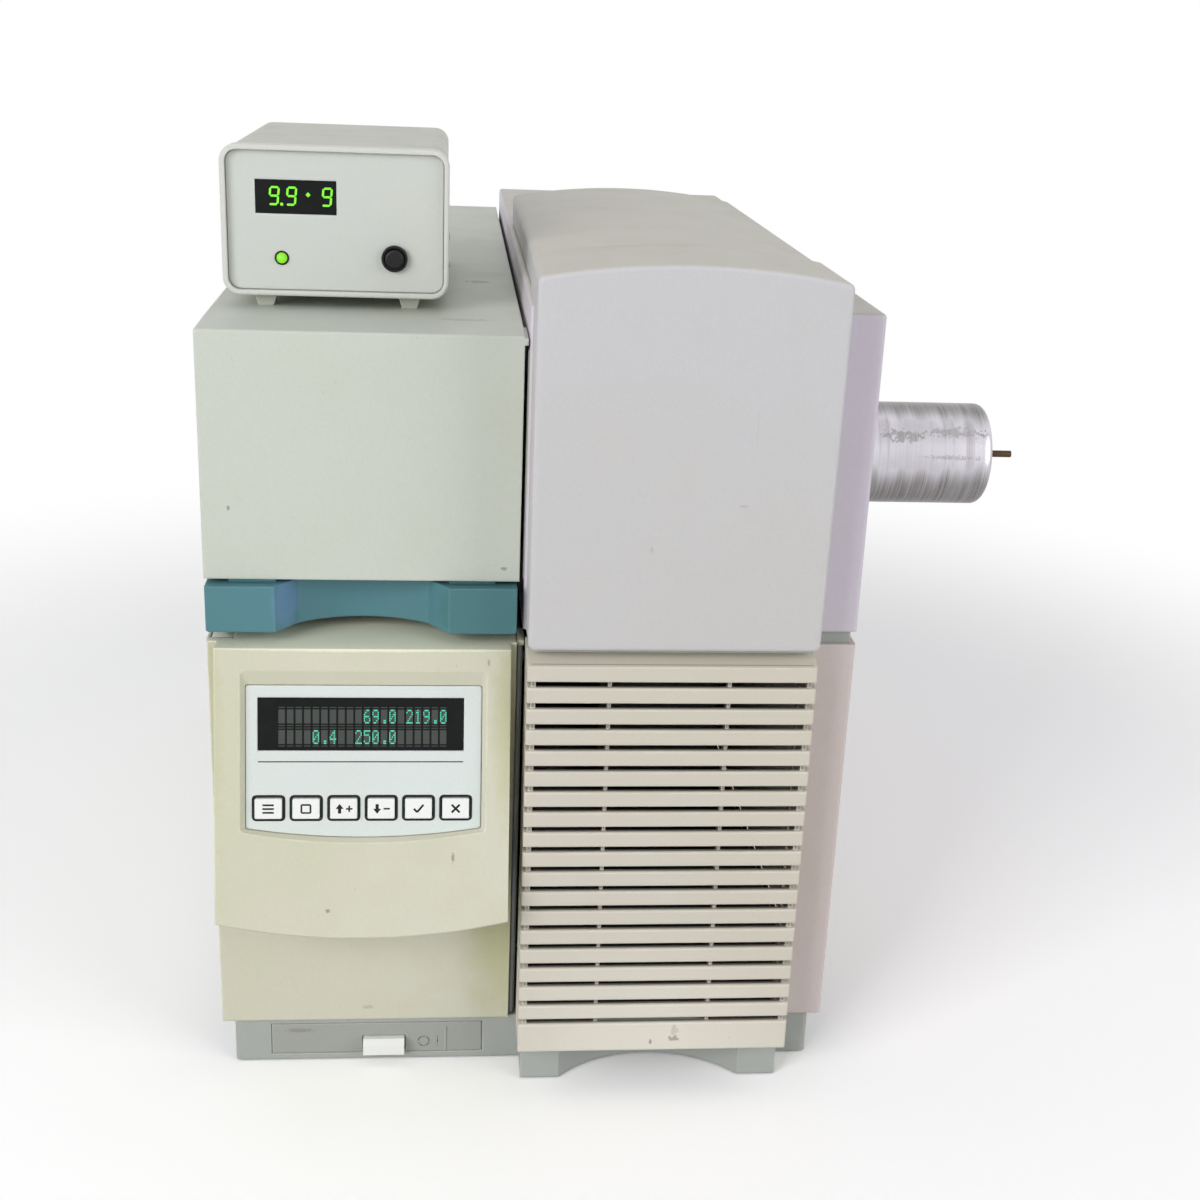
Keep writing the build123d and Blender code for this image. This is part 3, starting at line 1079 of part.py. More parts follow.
with BuildPart() as manifold:
    slab(BODY_X, BODY_Y, MANIFOLD_Z)
    fillet(manifold.edges().filter_by(Axis.Z), EDGE_ROUND)
    slab(
        (BODY_X[0], BODY_X[1] - MANIFOLD_WALL), (BODY_Y[0] + MANIFOLD_WALL, BODY_Y[1] - MANIFOLD_WALL),
        (MANIFOLD_Z[0] + MANIFOLD_WALL, MANIFOLD_Z[1] - MANIFOLD_WALL), mode=Mode.SUBTRACT,
    )
    rod(
        (BEAM_X, FRONT_Y + WINDOW_Y, MANIFOLD_Z[1] - 2 * MANIFOLD_WALL), (0, 0, 1),
        WINDOW_GLASS_RADIUS - WALL, 3 * MANIFOLD_WALL, mode=Mode.SUBTRACT,
    )
    rod(
        (PUMP_X, FRONT_Y + PUMP_Y, MANIFOLD_Z[0] - WALL), (0, 0, 1),
        PUMP_RADIUS - 2 * MANIFOLD_WALL, 2 * MANIFOLD_WALL, mode=Mode.SUBTRACT,
    )
    rod(
        (TUBE_MOUTH[0] - 2 * MANIFOLD_WALL, *TUBE_AXIS), (1, 0, 0), TUBE_BORE,
        3 * MANIFOLD_WALL, mode=Mode.SUBTRACT,
    )
    rod(
        (BEAM_X, BODY_Y[1] - 2 * MANIFOLD_WALL, AXIS_Z), (0, 1, 0), GAUGE_NECK_RADIUS + SEAT_GAP,
        3 * MANIFOLD_WALL, mode=Mode.SUBTRACT,
    )
    with BuildSketch(Plane.XY.offset(DECK_TOP)):
        with Locations(((BODY_X[0] + BODY_X[1]) / 2, (BODY_Y[0] + BODY_Y[1]) / 2)):
            with GridLocations(
                BODY_X[1] - BODY_X[0] - 2 * MANIFOLD_WALL,
                BODY_Y[1] - BODY_Y[0] - 2 * MANIFOLD_WALL, 2, 2,
            ):
                Circle(MANIFOLD_WALL / 2)
    extrude(amount=MANIFOLD_Z[0] - DECK_TOP)
manifold.part.label = "manifold"
export_step(manifold.part, "parts/manifold.step")

with BuildPart() as side_plate:
    slab((BODY_X[0] - SIDE_PLATE, BODY_X[0]), BODY_Y, MANIFOLD_Z)
    fillet(side_plate.edges().filter_by(Axis.X), EDGE_ROUND)
    for hinge_z in (MANIFOLD_Z[0] + 2 * MANIFOLD_WALL, MANIFOLD_Z[1] - 2 * MANIFOLD_WALL):
        rod(
            (BODY_X[0] - SIDE_PLATE / 2, BODY_Y[1] + WALL, hinge_z - MANIFOLD_WALL), (0, 0, 1),
            SIDE_PLATE / 2, 2 * MANIFOLD_WALL,
        )
side_plate.part.label = "side_plate"
export_step(side_plate.part, "parts/side_plate.step")

with BuildPart() as side_plate_screws:
    for screw_z in (MANIFOLD_Z[0] + 2 * MANIFOLD_WALL, MANIFOLD_Z[1] - 2 * MANIFOLD_WALL):
        for screw_y in (BODY_Y[0] + 2 * MANIFOLD_WALL, BODY_Y[1] - 2 * MANIFOLD_WALL):
            rod((BODY_X[0] - SIDE_PLATE, screw_y, screw_z), (-1, 0, 0), 2 * WALL, 3 * WALL)
side_plate_screws.part.label = "side_plate_screws"
export_step(side_plate_screws.part, "parts/side_plate_screws.step")

WINDOW_CENTRE = (BEAM_X, FRONT_Y + WINDOW_Y)
with BuildPart() as window_ring:
    with BuildSketch(Plane.XY.offset(MANIFOLD_Z[1])):
        with Locations(WINDOW_CENTRE):
            Circle(WINDOW_RING_RADIUS)
            Circle(WINDOW_GLASS_RADIUS + SEAT_GAP, mode=Mode.SUBTRACT)
            with PolarLocations((WINDOW_RING_RADIUS + WINDOW_GLASS_RADIUS) / 2, 6):
                Circle(SHEET, mode=Mode.SUBTRACT)
    extrude(amount=2 * WALL)
window_ring.part.label = "window_ring"
export_step(window_ring.part, "parts/window_ring.step")

with BuildPart() as window_glass:
    rod((*WINDOW_CENTRE, MANIFOLD_Z[1]), (0, 0, 1), WINDOW_GLASS_RADIUS, 1.5 * WALL)
window_glass.part.label = "window_glass"
export_step(window_glass.part, "parts/window_glass.step")

# Quadrupole mass filter: four round rods held by two ceramic collars, on a cradle.
ROD_Y0 = FRONT_Y + ROD_START
with BuildPart() as quadrupole:
    with BuildSketch(upright(ROD_Y0 + ROD_LENGTH)):
        with Locations((BEAM_X, AXIS_Z)):
            with GridLocations(2 * ROD_SPACING, 2 * ROD_SPACING, 2, 2):
                Circle(ROD_RADIUS)
    extrude(amount=ROD_LENGTH)
    for collar_y in (ROD_Y0 + COLLAR_LENGTH * 2, ROD_Y0 + ROD_LENGTH - COLLAR_LENGTH):
        with BuildSketch(upright(collar_y)):
            with Locations((BEAM_X, AXIS_Z)):
                Circle(COLLAR_RADIUS)
                Circle(ROD_SPACING, mode=Mode.SUBTRACT)
        extrude(amount=COLLAR_LENGTH)
        slab(
            (BODY_X[0], BEAM_X), (collar_y - COLLAR_LENGTH, collar_y),
            (AXIS_Z - COLLAR_RADIUS - WALL, AXIS_Z - COLLAR_RADIUS + WALL),
        )
quadrupole.part.label = "quadrupole"
export_step(quadrupole.part, "parts/quadrupole.step")

SOURCE_Y0 = BODY_Y[0] + MANIFOLD_WALL + WALL
with BuildPart() as ion_source:
    turned(
        Plane((BEAM_X, SOURCE_Y0, AXIS_Z), x_dir=(0, 1, 0), z_dir=(1, 0, 0)),
        [
            (0, SOURCE_RADII[0]), (SOURCE_STEP, SOURCE_RADII[0]), (SOURCE_STEP, SOURCE_RADII[1]),
            (SOURCE_BODY, SOURCE_RADII[1]), (SOURCE_BODY, SOURCE_RADII[2]),
            (ROD_Y0 - SOURCE_Y0 - WALL, SOURCE_RADII[2]),
        ],
    )
    slab(
        (BODY_X[0], BEAM_X), (SOURCE_Y0 + 4 * WALL, SOURCE_Y0 + 8 * WALL),
        (AXIS_Z - WALL, AXIS_Z + WALL),
    )
ion_source.part.label = "ion_source"
export_step(ion_source.part, "parts/ion_source.step")

DETECTOR_Y0 = ROD_Y0 + ROD_LENGTH + WALL
with BuildPart() as ion_detector:
    slab(
        (BODY_X[0], BEAM_X + COLLAR_RADIUS),
        (DETECTOR_Y0, BODY_Y[1] - MANIFOLD_WALL - WALL),
        (AXIS_Z - COLLAR_RADIUS, AXIS_Z + COLLAR_RADIUS),
    )
    rod(
        (BEAM_X, DETECTOR_Y0, AXIS_Z), (0, 1, 0), 2 * ROD_SPACING, 2 * WALL, mode=Mode.SUBTRACT,
    )
ion_detector.part.label = "ion_detector"
export_step(ion_detector.part, "parts/ion_detector.step")

# Turbo pump: closed and ribbed, hanging below the manifold through the deck.
PUMP_TOP = MANIFOLD_Z[0]
PUMP_HEIGHT = PUMP_TOP - PUMP_BOTTOM
with BuildPart() as turbo_pump:
    turned(
        Plane((PUMP_X, FRONT_Y + PUMP_Y, PUMP_BOTTOM), x_dir=(0, 0, 1), z_dir=(1, 0, 0)),
        [
            (0, PUMP_NECK_RADIUS), (PUMP_NECK, PUMP_NECK_RADIUS),
            (PUMP_NECK + PUMP_TAPER, PUMP_WAIST_RADIUS),
            (PUMP_HEIGHT - PUMP_FLANGE, PUMP_WAIST_RADIUS),
            (PUMP_HEIGHT - PUMP_FLANGE, PUMP_RADIUS), (PUMP_HEIGHT, PUMP_RADIUS),
        ],
    )
    for i in range(PUMP_RIBS):
        rib_z = PUMP_BOTTOM + PUMP_RIB_START + i * PUMP_RIB_PITCH
        rod((PUMP_X, FRONT_Y + PUMP_Y, rib_z), (0, 0, 1), PUMP_RADIUS - SHEET, WALL)
turbo_pump.part.label = "turbo_pump"
export_step(turbo_pump.part, "parts/turbo_pump.step")

FORELINE_Y0 = FRONT_Y + PUMP_Y + PUMP_NECK_RADIUS + SEAT_GAP
with BuildPart() as foreline_fitting:
    barb = BACK_Y + REAR_REACH - FORELINE_Y0
    root = BACK_Y + WALL - FORELINE_Y0
    turned(
        Plane((FORELINE_PLACE[0], FORELINE_Y0, FORELINE_Z), x_dir=(0, 1, 0), z_dir=(1, 0, 0)),
        [
            (0, FORELINE_RADIUS), (root, FORELINE_RADIUS), (root, FORELINE_RADIUS - WALL),
            (root + BARB_PITCH, FORELINE_RADIUS - WALL / 2),
            (root + BARB_PITCH, FORELINE_RADIUS - WALL),
            (root + 2 * BARB_PITCH, FORELINE_RADIUS - WALL / 2),
            (root + 2 * BARB_PITCH, FORELINE_RADIUS - WALL),
            (barb, FORELINE_RADIUS - WALL),
        ],
    )
    rod(
        (FORELINE_PLACE[0], BACK_Y + REAR_REACH, FORELINE_Z), (0, -1, 0),
        FORELINE_RADIUS - 2 * WALL, 3 * REAR_REACH, mode=Mode.SUBTRACT,
    )
foreline_fitting.part.label = "foreline_fitting"
export_step(foreline_fitting.part, "parts/foreline_fitting.step")

with BuildPart() as gauge_tube:
    neck = 2 * MANIFOLD_WALL
    bulb = neck + GAUGE_SHOULDER
    tip = bulb + GAUGE_BULB_LENGTH + GAUGE_TIP[0]
    turned(
        Plane(
            (BEAM_X, BODY_Y[1] - MANIFOLD_WALL, AXIS_Z), x_dir=(0, 1, 0), z_dir=(1, 0, 0)),
        [
            (0, GAUGE_NECK_RADIUS), (neck, GAUGE_NECK_RADIUS), (bulb, GAUGE_BULB_RADIUS),
            (bulb + GAUGE_BULB_LENGTH, GAUGE_BULB_RADIUS), (tip, GAUGE_TIP[1]),
            (tip + GAUGE_TIP[2], GAUGE_TIP[1]),
        ],
    )
gauge_tube.part.label = "gauge_tube"
export_step(gauge_tube.part, "parts/gauge_tube.step")

# Vent valve: a fluted knob on a plain stem in the front wall of the manifold.
KNOB_BACK = BODY_Y[0] - SLIDE_GAP
KNOB_PLACE = (LEFT_X + KNOB_X, KNOB_Z)
with BuildPart() as vent_knob:
    with BuildSketch(upright(KNOB_BACK)):
        with Locations(KNOB_PLACE):
            Circle(KNOB_RADIUS)
            with PolarLocations(KNOB_RADIUS + SHEET / 2, KNOB_FLUTES):
                Circle(SHEET, mode=Mode.SUBTRACT)
    extrude(amount=KNOB_LENGTH)
vent_knob.part.label = "vent_knob"
export_step(vent_knob.part, "parts/vent_knob.step")

# ================================================================ interface to the oven
with BuildPart() as interface_tube:
    tube_end = RIGHT_X1 + TUBE_REACH - TUBE_MOUTH[0]
    rod(
        (RIGHT_X1 + TUBE_STEP, *TUBE_AXIS), (1, 0, 0), TUBE_RADIUS, TUBE_REACH - TUBE_STEP)
    fillet(interface_tube.faces().sort_by(Axis.X)[-1].edges(), TUBE_ROUND)
    rod(TUBE_MOUTH, (1, 0, 0), TUBE_BORE + 2 * SHEET - TUBE_STEP, tube_end - WALL)
    rod(TUBE_MOUTH, (1, 0, 0), TUBE_FLANGE_RADIUS, TUBE_FLANGE)
    rod(TUBE_MOUTH, (1, 0, 0), TUBE_BORE, tube_end - 2 * MANIFOLD_WALL, mode=Mode.SUBTRACT)
interface_tube.part.label = "interface_tube"
export_step(interface_tube.part, "parts/interface_tube.step")

with BuildPart() as column_nut:
    nut_x = RIGHT_X1 + TUBE_REACH
    with BuildSketch(Plane((nut_x, *TUBE_AXIS), x_dir=(0, 1, 0), z_dir=(1, 0, 0))):
        RegularPolygon(PIN_NUT_RADIUS, 6)
    extrude(amount=PIN_NUT_LENGTH)
    rod((nut_x, *TUBE_AXIS), (1, 0, 0), PIN_RADIUS, PIN_REACH)
column_nut.part.label = "column_nut"
export_step(column_nut.part, "parts/column_nut.step")

# ================================================================ electronics
MAIN_BOARD_X = DIVIDER_X1 + STANDOFF
with BuildPart() as main_board:
    slab(
        (MAIN_BOARD_X, MAIN_BOARD_X + BOARD_THICKNESS), span(FRONT_Y, MAIN_BOARD_Y),
        MAIN_BOARD_Z,
    )
    board_mid = (FRONT_Y + sum(MAIN_BOARD_Y) / 2, sum(MAIN_BOARD_Z) / 2)
    with BuildSketch(Plane.YZ.offset(DIVIDER_X1)):
        with Locations(board_mid):
            with GridLocations(
                MAIN_BOARD_Y[1] - MAIN_BOARD_Y[0] - 4 * WALL,
                MAIN_BOARD_Z[1] - MAIN_BOARD_Z[0] - 4 * WALL, 2, 2,
            ):
                Circle(WALL)
    extrude(amount=STANDOFF)
    with BuildSketch(Plane.YZ.offset(MAIN_BOARD_X + BOARD_THICKNESS)):
        with Locations(board_mid):
            with GridLocations(CHIP_PITCH, CHIP_PITCH, CHIP_ROWS[0], CHIP_ROWS[1]):
                Rectangle(*CHIP_SIZE)
    extrude(amount=WALL)
main_board.part.label = "main_board"
export_step(main_board.part, "parts/main_board.step")

with BuildPart() as power_supply:
    slab(span(LEFT_X, SUPPLY_X), span(FRONT_Y, SUPPLY_Y), (FLOOR_TOP, FLOOR_TOP + SUPPLY_HEIGHT))
    with BuildSketch(Plane.XY.offset(FLOOR_TOP + SUPPLY_HEIGHT)):
        with Locations((LEFT_X + sum(SUPPLY_X) / 2, FRONT_Y + sum(SUPPLY_Y) / 2)):
            with GridLocations(0, VENT_PITCH, 1, SUPPLY_VENTS):
                SlotOverall(5 * VENT_PITCH, VENT_GAP)
    extrude(amount=-SHEET, mode=Mode.SUBTRACT)
power_supply.part.label = "power_supply"
export_step(power_supply.part, "parts/power_supply.step")

with BuildPart() as rf_coil_box:
    slab(
        span(LEFT_X, COIL_BOX_X), span(FRONT_Y, COIL_BOX_Y),
        (RIGHT_HOUSING_BOTTOM, RIGHT_HOUSING_BOTTOM + COIL_BOX_HEIGHT),
    )
    with BuildSketch(Plane.XY.offset(RIGHT_HOUSING_BOTTOM + COIL_BOX_HEIGHT)):
        with Locations((LEFT_X + sum(COIL_BOX_X) / 2, FRONT_Y + sum(COIL_BOX_Y) / 2)):
            with GridLocations(COIL_PITCH, 0, 2, 1):
                Circle(WALL * 2)
    extrude(amount=WALL)
rf_coil_box.part.label = "rf_coil_box"
export_step(rf_coil_box.part, "parts/rf_coil_box.step")

# ================================================================ gauge controller
GAUGE_X0 = LEFT_X + GAUGE_X
GAUGE_MID_X = GAUGE_X0 + GAUGE_WIDTH / 2
GAUGE_Z0 = LEFT_COVER_TOP + GAUGE_FOOT
GAUGE_MID = (GAUGE_MID_X, GAUGE_Z0 + GAUGE_HEIGHT / 2)
GAUGE_Y0 = FRONT_Y + GAUGE_FRONT
GAUGE_Y1 = GAUGE_Y0 + GAUGE_DEPTH
CASE_Y0 = GAUGE_Y0 + GAUGE_RIM_DEPTH
CASE_WIDTH = GAUGE_WIDTH - 2 * GAUGE_CASE_INSET
CASE_HEIGHT = GAUGE_HEIGHT - 2 * GAUGE_CASE_INSET
CASE_CORNER = GAUGE_CORNER - GAUGE_CASE_INSET
CASE_FLOOR = GAUGE_Z0 + GAUGE_CASE_INSET + GAUGE_CASE_WALL
FACE_Y0 = GAUGE_Y0 + GAUGE_PANEL_RECESS
FACE_Y1 = FACE_Y0 + GAUGE_PANEL_THICKNESS
MOUTH_WIDTH = GAUGE_WIDTH - 2 * GAUGE_RIM_WIDTH
MOUTH_HEIGHT = GAUGE_HEIGHT - 2 * GAUGE_RIM_WIDTH
MOUTH_CORNER = GAUGE_CORNER - GAUGE_RIM_WIDTH
WINDOW_PLACE = (
    GAUGE_X0 + GAUGE_WINDOW_X + GAUGE_WINDOW_SIZE[0] / 2,
    GAUGE_Z0 + GAUGE_WINDOW_Z + GAUGE_WINDOW_SIZE[1] / 2,
)
LED_PLACE = (GAUGE_X0 + GAUGE_LED_X, GAUGE_Z0 + GAUGE_LED_Z)
PUSH_PLACE = (GAUGE_X0 + GAUGE_BUTTON_X, GAUGE_Z0 + GAUGE_BUTTON_Z)

with BuildPart() as gauge_case:
    with BuildSketch(upright(GAUGE_Y1)):
        with Locations(GAUGE_MID):
            RectangleRounded(CASE_WIDTH, CASE_HEIGHT, CASE_CORNER)
            RectangleRounded(
                CASE_WIDTH - 2 * GAUGE_CASE_WALL, CASE_HEIGHT - 2 * GAUGE_CASE_WALL,
                CASE_CORNER - GAUGE_CASE_WALL, mode=Mode.SUBTRACT,
            )
    extrude(amount=GAUGE_Y1 - CASE_Y0)
gauge_case.part.label = "gauge_case"
export_step(gauge_case.part, "parts/gauge_case.step")

with BuildPart() as gauge_rim:
    with BuildSketch(upright(CASE_Y0)):
        with Locations(GAUGE_MID):
            RectangleRounded(GAUGE_WIDTH, GAUGE_HEIGHT, GAUGE_CORNER)
            RectangleRounded(
                MOUTH_WIDTH - 2 * GAUGE_RIM_WIDTH, MOUTH_HEIGHT - 2 * GAUGE_RIM_WIDTH,
                MOUTH_CORNER - GAUGE_RIM_WIDTH, mode=Mode.SUBTRACT,
            )
    extrude(amount=GAUGE_RIM_DEPTH)
    fillet(gauge_rim.faces().sort_by(Axis.Y)[0].outer_wire().edges(), GAUGE_RIM_WIDTH / 2)
    with BuildSketch(upright(FACE_Y1)):
        with Locations(GAUGE_MID):
            RectangleRounded(MOUTH_WIDTH, MOUTH_HEIGHT, MOUTH_CORNER)
    extrude(amount=FACE_Y1 - GAUGE_Y0, mode=Mode.SUBTRACT)
gauge_rim.part.label = "gauge_rim"
export_step(gauge_rim.part, "parts/gauge_rim.step")

with BuildPart() as gauge_front_panel:
    with BuildSketch(upright(FACE_Y1)):
        with Locations(GAUGE_MID):
            RectangleRounded(
                MOUTH_WIDTH - 2 * SEAT_GAP, MOUTH_HEIGHT - 2 * SEAT_GAP, MOUTH_CORNER - SEAT_GAP)
        with Locations(WINDOW_PLACE):
            Rectangle(*GAUGE_WINDOW_SIZE, mode=Mode.SUBTRACT)
        with Locations(LED_PLACE):
            Circle(GAUGE_LED_RADIUS + SEAT_GAP, mode=Mode.SUBTRACT)
        with Locations(PUSH_PLACE):
            Circle(GAUGE_BUTTON_RADIUS + SLIDE_GAP, mode=Mode.SUBTRACT)
    extrude(amount=GAUGE_PANEL_THICKNESS)
gauge_front_panel.part.label = "gauge_front_panel"
export_step(gauge_front_panel.part, "parts/gauge_front_panel.step")

with BuildPart() as gauge_window:
    with BuildSketch(upright(FACE_Y1)):
        with Locations(WINDOW_PLACE):
            Rectangle(*[side - 2 * SEAT_GAP for side in GAUGE_WINDOW_SIZE])
    extrude(amount=GAUGE_PANEL_THICKNESS)
gauge_window.part.label = "gauge_window"
export_step(gauge_window.part, "parts/gauge_window.step")

with BuildPart() as gauge_led:
    rod(
        (LED_PLACE[0], FACE_Y1 + GAUGE_PANEL_THICKNESS, LED_PLACE[1]), (0, -1, 0),
        GAUGE_LED_RADIUS, 2 * GAUGE_PANEL_THICKNESS + GAUGE_LED_RADIUS,
    )
    fillet(gauge_led.faces().sort_by(Axis.Y)[0].edges(), 0.9 * GAUGE_LED_RADIUS)
gauge_led.part.label = "gauge_led"
export_step(gauge_led.part, "parts/gauge_led.step")

with BuildPart() as gauge_button_collar:
    with BuildSketch(upright(FACE_Y0)):
        with Locations(PUSH_PLACE):
            Circle(GAUGE_COLLAR_RADIUS)
            Circle(GAUGE_BUTTON_RADIUS + SLIDE_GAP, mode=Mode.SUBTRACT)
    extrude(amount=GAUGE_BUTTON_REACH - GAUGE_BUTTON_TRAVEL)
gauge_button_collar.part.label = "gauge_button_collar"
export_step(gauge_button_collar.part, "parts/gauge_button_collar.step")

PUSH_FRONT = FACE_Y0 - GAUGE_BUTTON_REACH
PUSH_BACK = FACE_Y1 + 2 * WALL
with BuildPart() as gauge_button:
    rod(
        (PUSH_PLACE[0], PUSH_BACK, PUSH_PLACE[1]), (0, -1, 0), GAUGE_BUTTON_RADIUS,
        PUSH_BACK - PUSH_FRONT,
    )
    fillet(gauge_button.faces().sort_by(Axis.Y)[0].edges(), 0.25 * GAUGE_BUTTON_RADIUS)
gauge_button.part.label = "gauge_button"
export_step(gauge_button.part, "parts/gauge_button.step")

with BuildPart() as gauge_feet:
    foot_top = GAUGE_Z0 + GAUGE_CASE_INSET
    for foot_front in (GAUGE_Y0 + GAUGE_FOOT_SETBACK, GAUGE_Y1 - 2 * GAUGE_FOOT_SETBACK):
        with BuildSketch(upright(foot_front + GAUGE_FOOT_DEPTH)):
            for foot_x in (GAUGE_MID_X - GAUGE_FOOT_SPREAD / 2, GAUGE_MID_X + GAUGE_FOOT_SPREAD / 2):
                with BuildLine():
                    Polyline(
                        (foot_x - GAUGE_FOOT_TOP / 2, foot_top),
                        (foot_x - GAUGE_FOOT_BASE / 2, LEFT_COVER_TOP),
                        (foot_x + GAUGE_FOOT_BASE / 2, LEFT_COVER_TOP),
                        (foot_x + GAUGE_FOOT_TOP / 2, foot_top),
                        close=True,
                    )
                make_face()
        extrude(amount=GAUGE_FOOT_DEPTH)
gauge_feet.part.label = "gauge_feet"
export_step(gauge_feet.part, "parts/gauge_feet.step")

GAUGE_BOARD_Z = CASE_FLOOR + GAUGE_BOARD_LIFT
with BuildPart() as gauge_board:
    board_x = (GAUGE_X0 + 3 * WALL, GAUGE_X0 + GAUGE_WIDTH - 3 * WALL)
    board_y = (PUSH_BACK + GAUGE_BUTTON_TRAVEL + SLIDE_GAP, GAUGE_Y1 - 6 * WALL)
    slab(board_x, board_y, (GAUGE_BOARD_Z, GAUGE_BOARD_Z + BOARD_THICKNESS))
    with BuildSketch(Plane.XY.offset(CASE_FLOOR)):
        with Locations((sum(board_x) / 2, sum(board_y) / 2)):
            with GridLocations(
                board_x[1] - board_x[0] - 3 * WALL, board_y[1] - board_y[0] - 3 * WALL, 2, 2,
            ):
                Circle(WALL)
    extrude(amount=GAUGE_BOARD_LIFT)
    slab(
        (PUSH_PLACE[0] - 2 * WALL, PUSH_PLACE[0] + 2 * WALL), (board_y[0], board_y[0] + 4 * WALL),
        (GAUGE_BOARD_Z, PUSH_PLACE[1] + 2 * WALL),
    )
    slab(
        (WINDOW_PLACE[0] - GAUGE_WINDOW_SIZE[0] / 2, WINDOW_PLACE[0] + GAUGE_WINDOW_SIZE[0] / 2),
        (board_y[0], board_y[0] + WALL),
        (GAUGE_BOARD_Z, WINDOW_PLACE[1] + GAUGE_WINDOW_SIZE[1] / 2 + WALL),
    )
gauge_board.part.label = "gauge_board"
export_step(gauge_board.part, "parts/gauge_board.step")

with BuildPart() as gauge_rear_panel:
    with BuildSketch(upright(GAUGE_Y1 - WALL)):
        with Locations(GAUGE_MID):
            RectangleRounded(
                CASE_WIDTH - 2 * GAUGE_CASE_WALL - 2 * SEAT_GAP,
                CASE_HEIGHT - 2 * GAUGE_CASE_WALL - 2 * SEAT_GAP,
                CASE_CORNER - GAUGE_CASE_WALL - SEAT_GAP,
            )
    extrude(amount=SHEET)
    with BuildSketch(upright(GAUGE_Y1)):
        with Locations((GAUGE_MID_X, GAUGE_MID[1] - GAUGE_HEIGHT / 6)):
            RectangleRounded(*CONNECTOR_SIZE, EDGE_ROUND)
            RectangleRounded(
                CONNECTOR_SIZE[0] - SHEET, CONNECTOR_SIZE[1] - SHEET, EDGE_ROUND / 2,
                mode=Mode.SUBTRACT,
            )
    extrude(amount=WALL)
gauge_rear_panel.part.label = "gauge_rear_panel"
export_step(gauge_rear_panel.part, "parts/gauge_rear_panel.step")
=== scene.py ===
"""Looks of a bench mass spectrometer: the finish of every modelled part, and its fine pieces."""
import json
import logging
import math
import sys
from dataclasses import dataclass
from enum import Enum
from typing import Any, Dict, List, Optional, Sequence, Tuple, Union

import bpy
import numpy as np
from mathutils import Matrix, Vector

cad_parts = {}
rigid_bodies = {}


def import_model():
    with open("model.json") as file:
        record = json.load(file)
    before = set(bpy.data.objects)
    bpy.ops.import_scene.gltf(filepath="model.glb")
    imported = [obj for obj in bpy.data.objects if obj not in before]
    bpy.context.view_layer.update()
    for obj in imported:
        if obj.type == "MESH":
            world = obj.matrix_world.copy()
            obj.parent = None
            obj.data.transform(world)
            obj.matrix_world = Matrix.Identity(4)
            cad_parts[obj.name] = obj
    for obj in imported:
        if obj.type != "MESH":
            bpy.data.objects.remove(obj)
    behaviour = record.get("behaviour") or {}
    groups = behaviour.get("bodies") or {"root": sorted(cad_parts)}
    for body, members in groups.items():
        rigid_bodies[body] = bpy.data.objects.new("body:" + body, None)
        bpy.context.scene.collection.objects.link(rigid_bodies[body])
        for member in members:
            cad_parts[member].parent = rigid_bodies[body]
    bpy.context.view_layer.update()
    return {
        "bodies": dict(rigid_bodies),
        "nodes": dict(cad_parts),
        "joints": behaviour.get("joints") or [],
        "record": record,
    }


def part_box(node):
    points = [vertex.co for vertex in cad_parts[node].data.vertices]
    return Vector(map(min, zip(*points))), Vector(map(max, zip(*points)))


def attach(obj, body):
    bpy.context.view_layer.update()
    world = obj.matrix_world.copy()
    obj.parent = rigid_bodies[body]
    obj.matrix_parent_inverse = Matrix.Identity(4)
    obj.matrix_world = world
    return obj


LOG = logging.getLogger("spectrometer")
MM = 0.001
Colour = Tuple[float, float, float, float]
Point = Tuple[float, float, float]
Flat = Tuple[float, float]
Profile = Sequence[Tuple[float, float]]
Value = Union["Field", float]


def paint(red: int, green: int, blue: int) -> Colour:
    """Turn a display colour, 0 to 255, into the linear colour that a shader takes.

    Args:
        red: 0 to 255.
        green: 0 to 255.
        blue: 0 to 255.

    Returns:
        The linear colour, with an alpha of 1.
    """
    share = np.array([red, green, blue]) / 255.0
    value = np.where(share <= 0.04045, share / 12.92, ((share + 0.055) / 1.055) ** 2.4)
    return (float(value[0]), float(value[1]), float(value[2]), 1.0)


# ================================================================ shader expressions
class Field:
    """A value that varies over a surface; its operators add Math nodes."""

    def __init__(self, shader: "Shader", socket: bpy.types.NodeSocket) -> None:
        """Wrap one output socket of a shader's tree."""
        self.shader = shader
        self.socket = socket

    def __add__(self, other: Value) -> "Field":
        """Sum."""
        return self.shader.math("ADD", self, other)

    def __sub__(self, other: Value) -> "Field":
        """Difference."""
        return self.shader.math("SUBTRACT", self, other)

    def __rsub__(self, other: Value) -> "Field":
        """Difference from a number."""
        return self.shader.math("SUBTRACT", other, self)

    def __mul__(self, other: Value) -> "Field":
        """Product."""
        return self.shader.math("MULTIPLY", self, other)

    __radd__ = __add__
    __rmul__ = __mul__

    def rise(self, low: float, high: float) -> "Field":
        """Go smoothly from 0 at low to 1 at high; low may be the larger of the two.

        Args:
            low: where the result is 0.
            high: where the result is 1.

        Returns:
            The smooth step.
        """
        if low > high:
            return 1.0 - self.rise(high, low)
        values = {"Value": self, "From Min": low, "From Max": high}
        return self.shader.node("MapRange", {"interpolation_type": "SMOOTHSTEP"}, values)


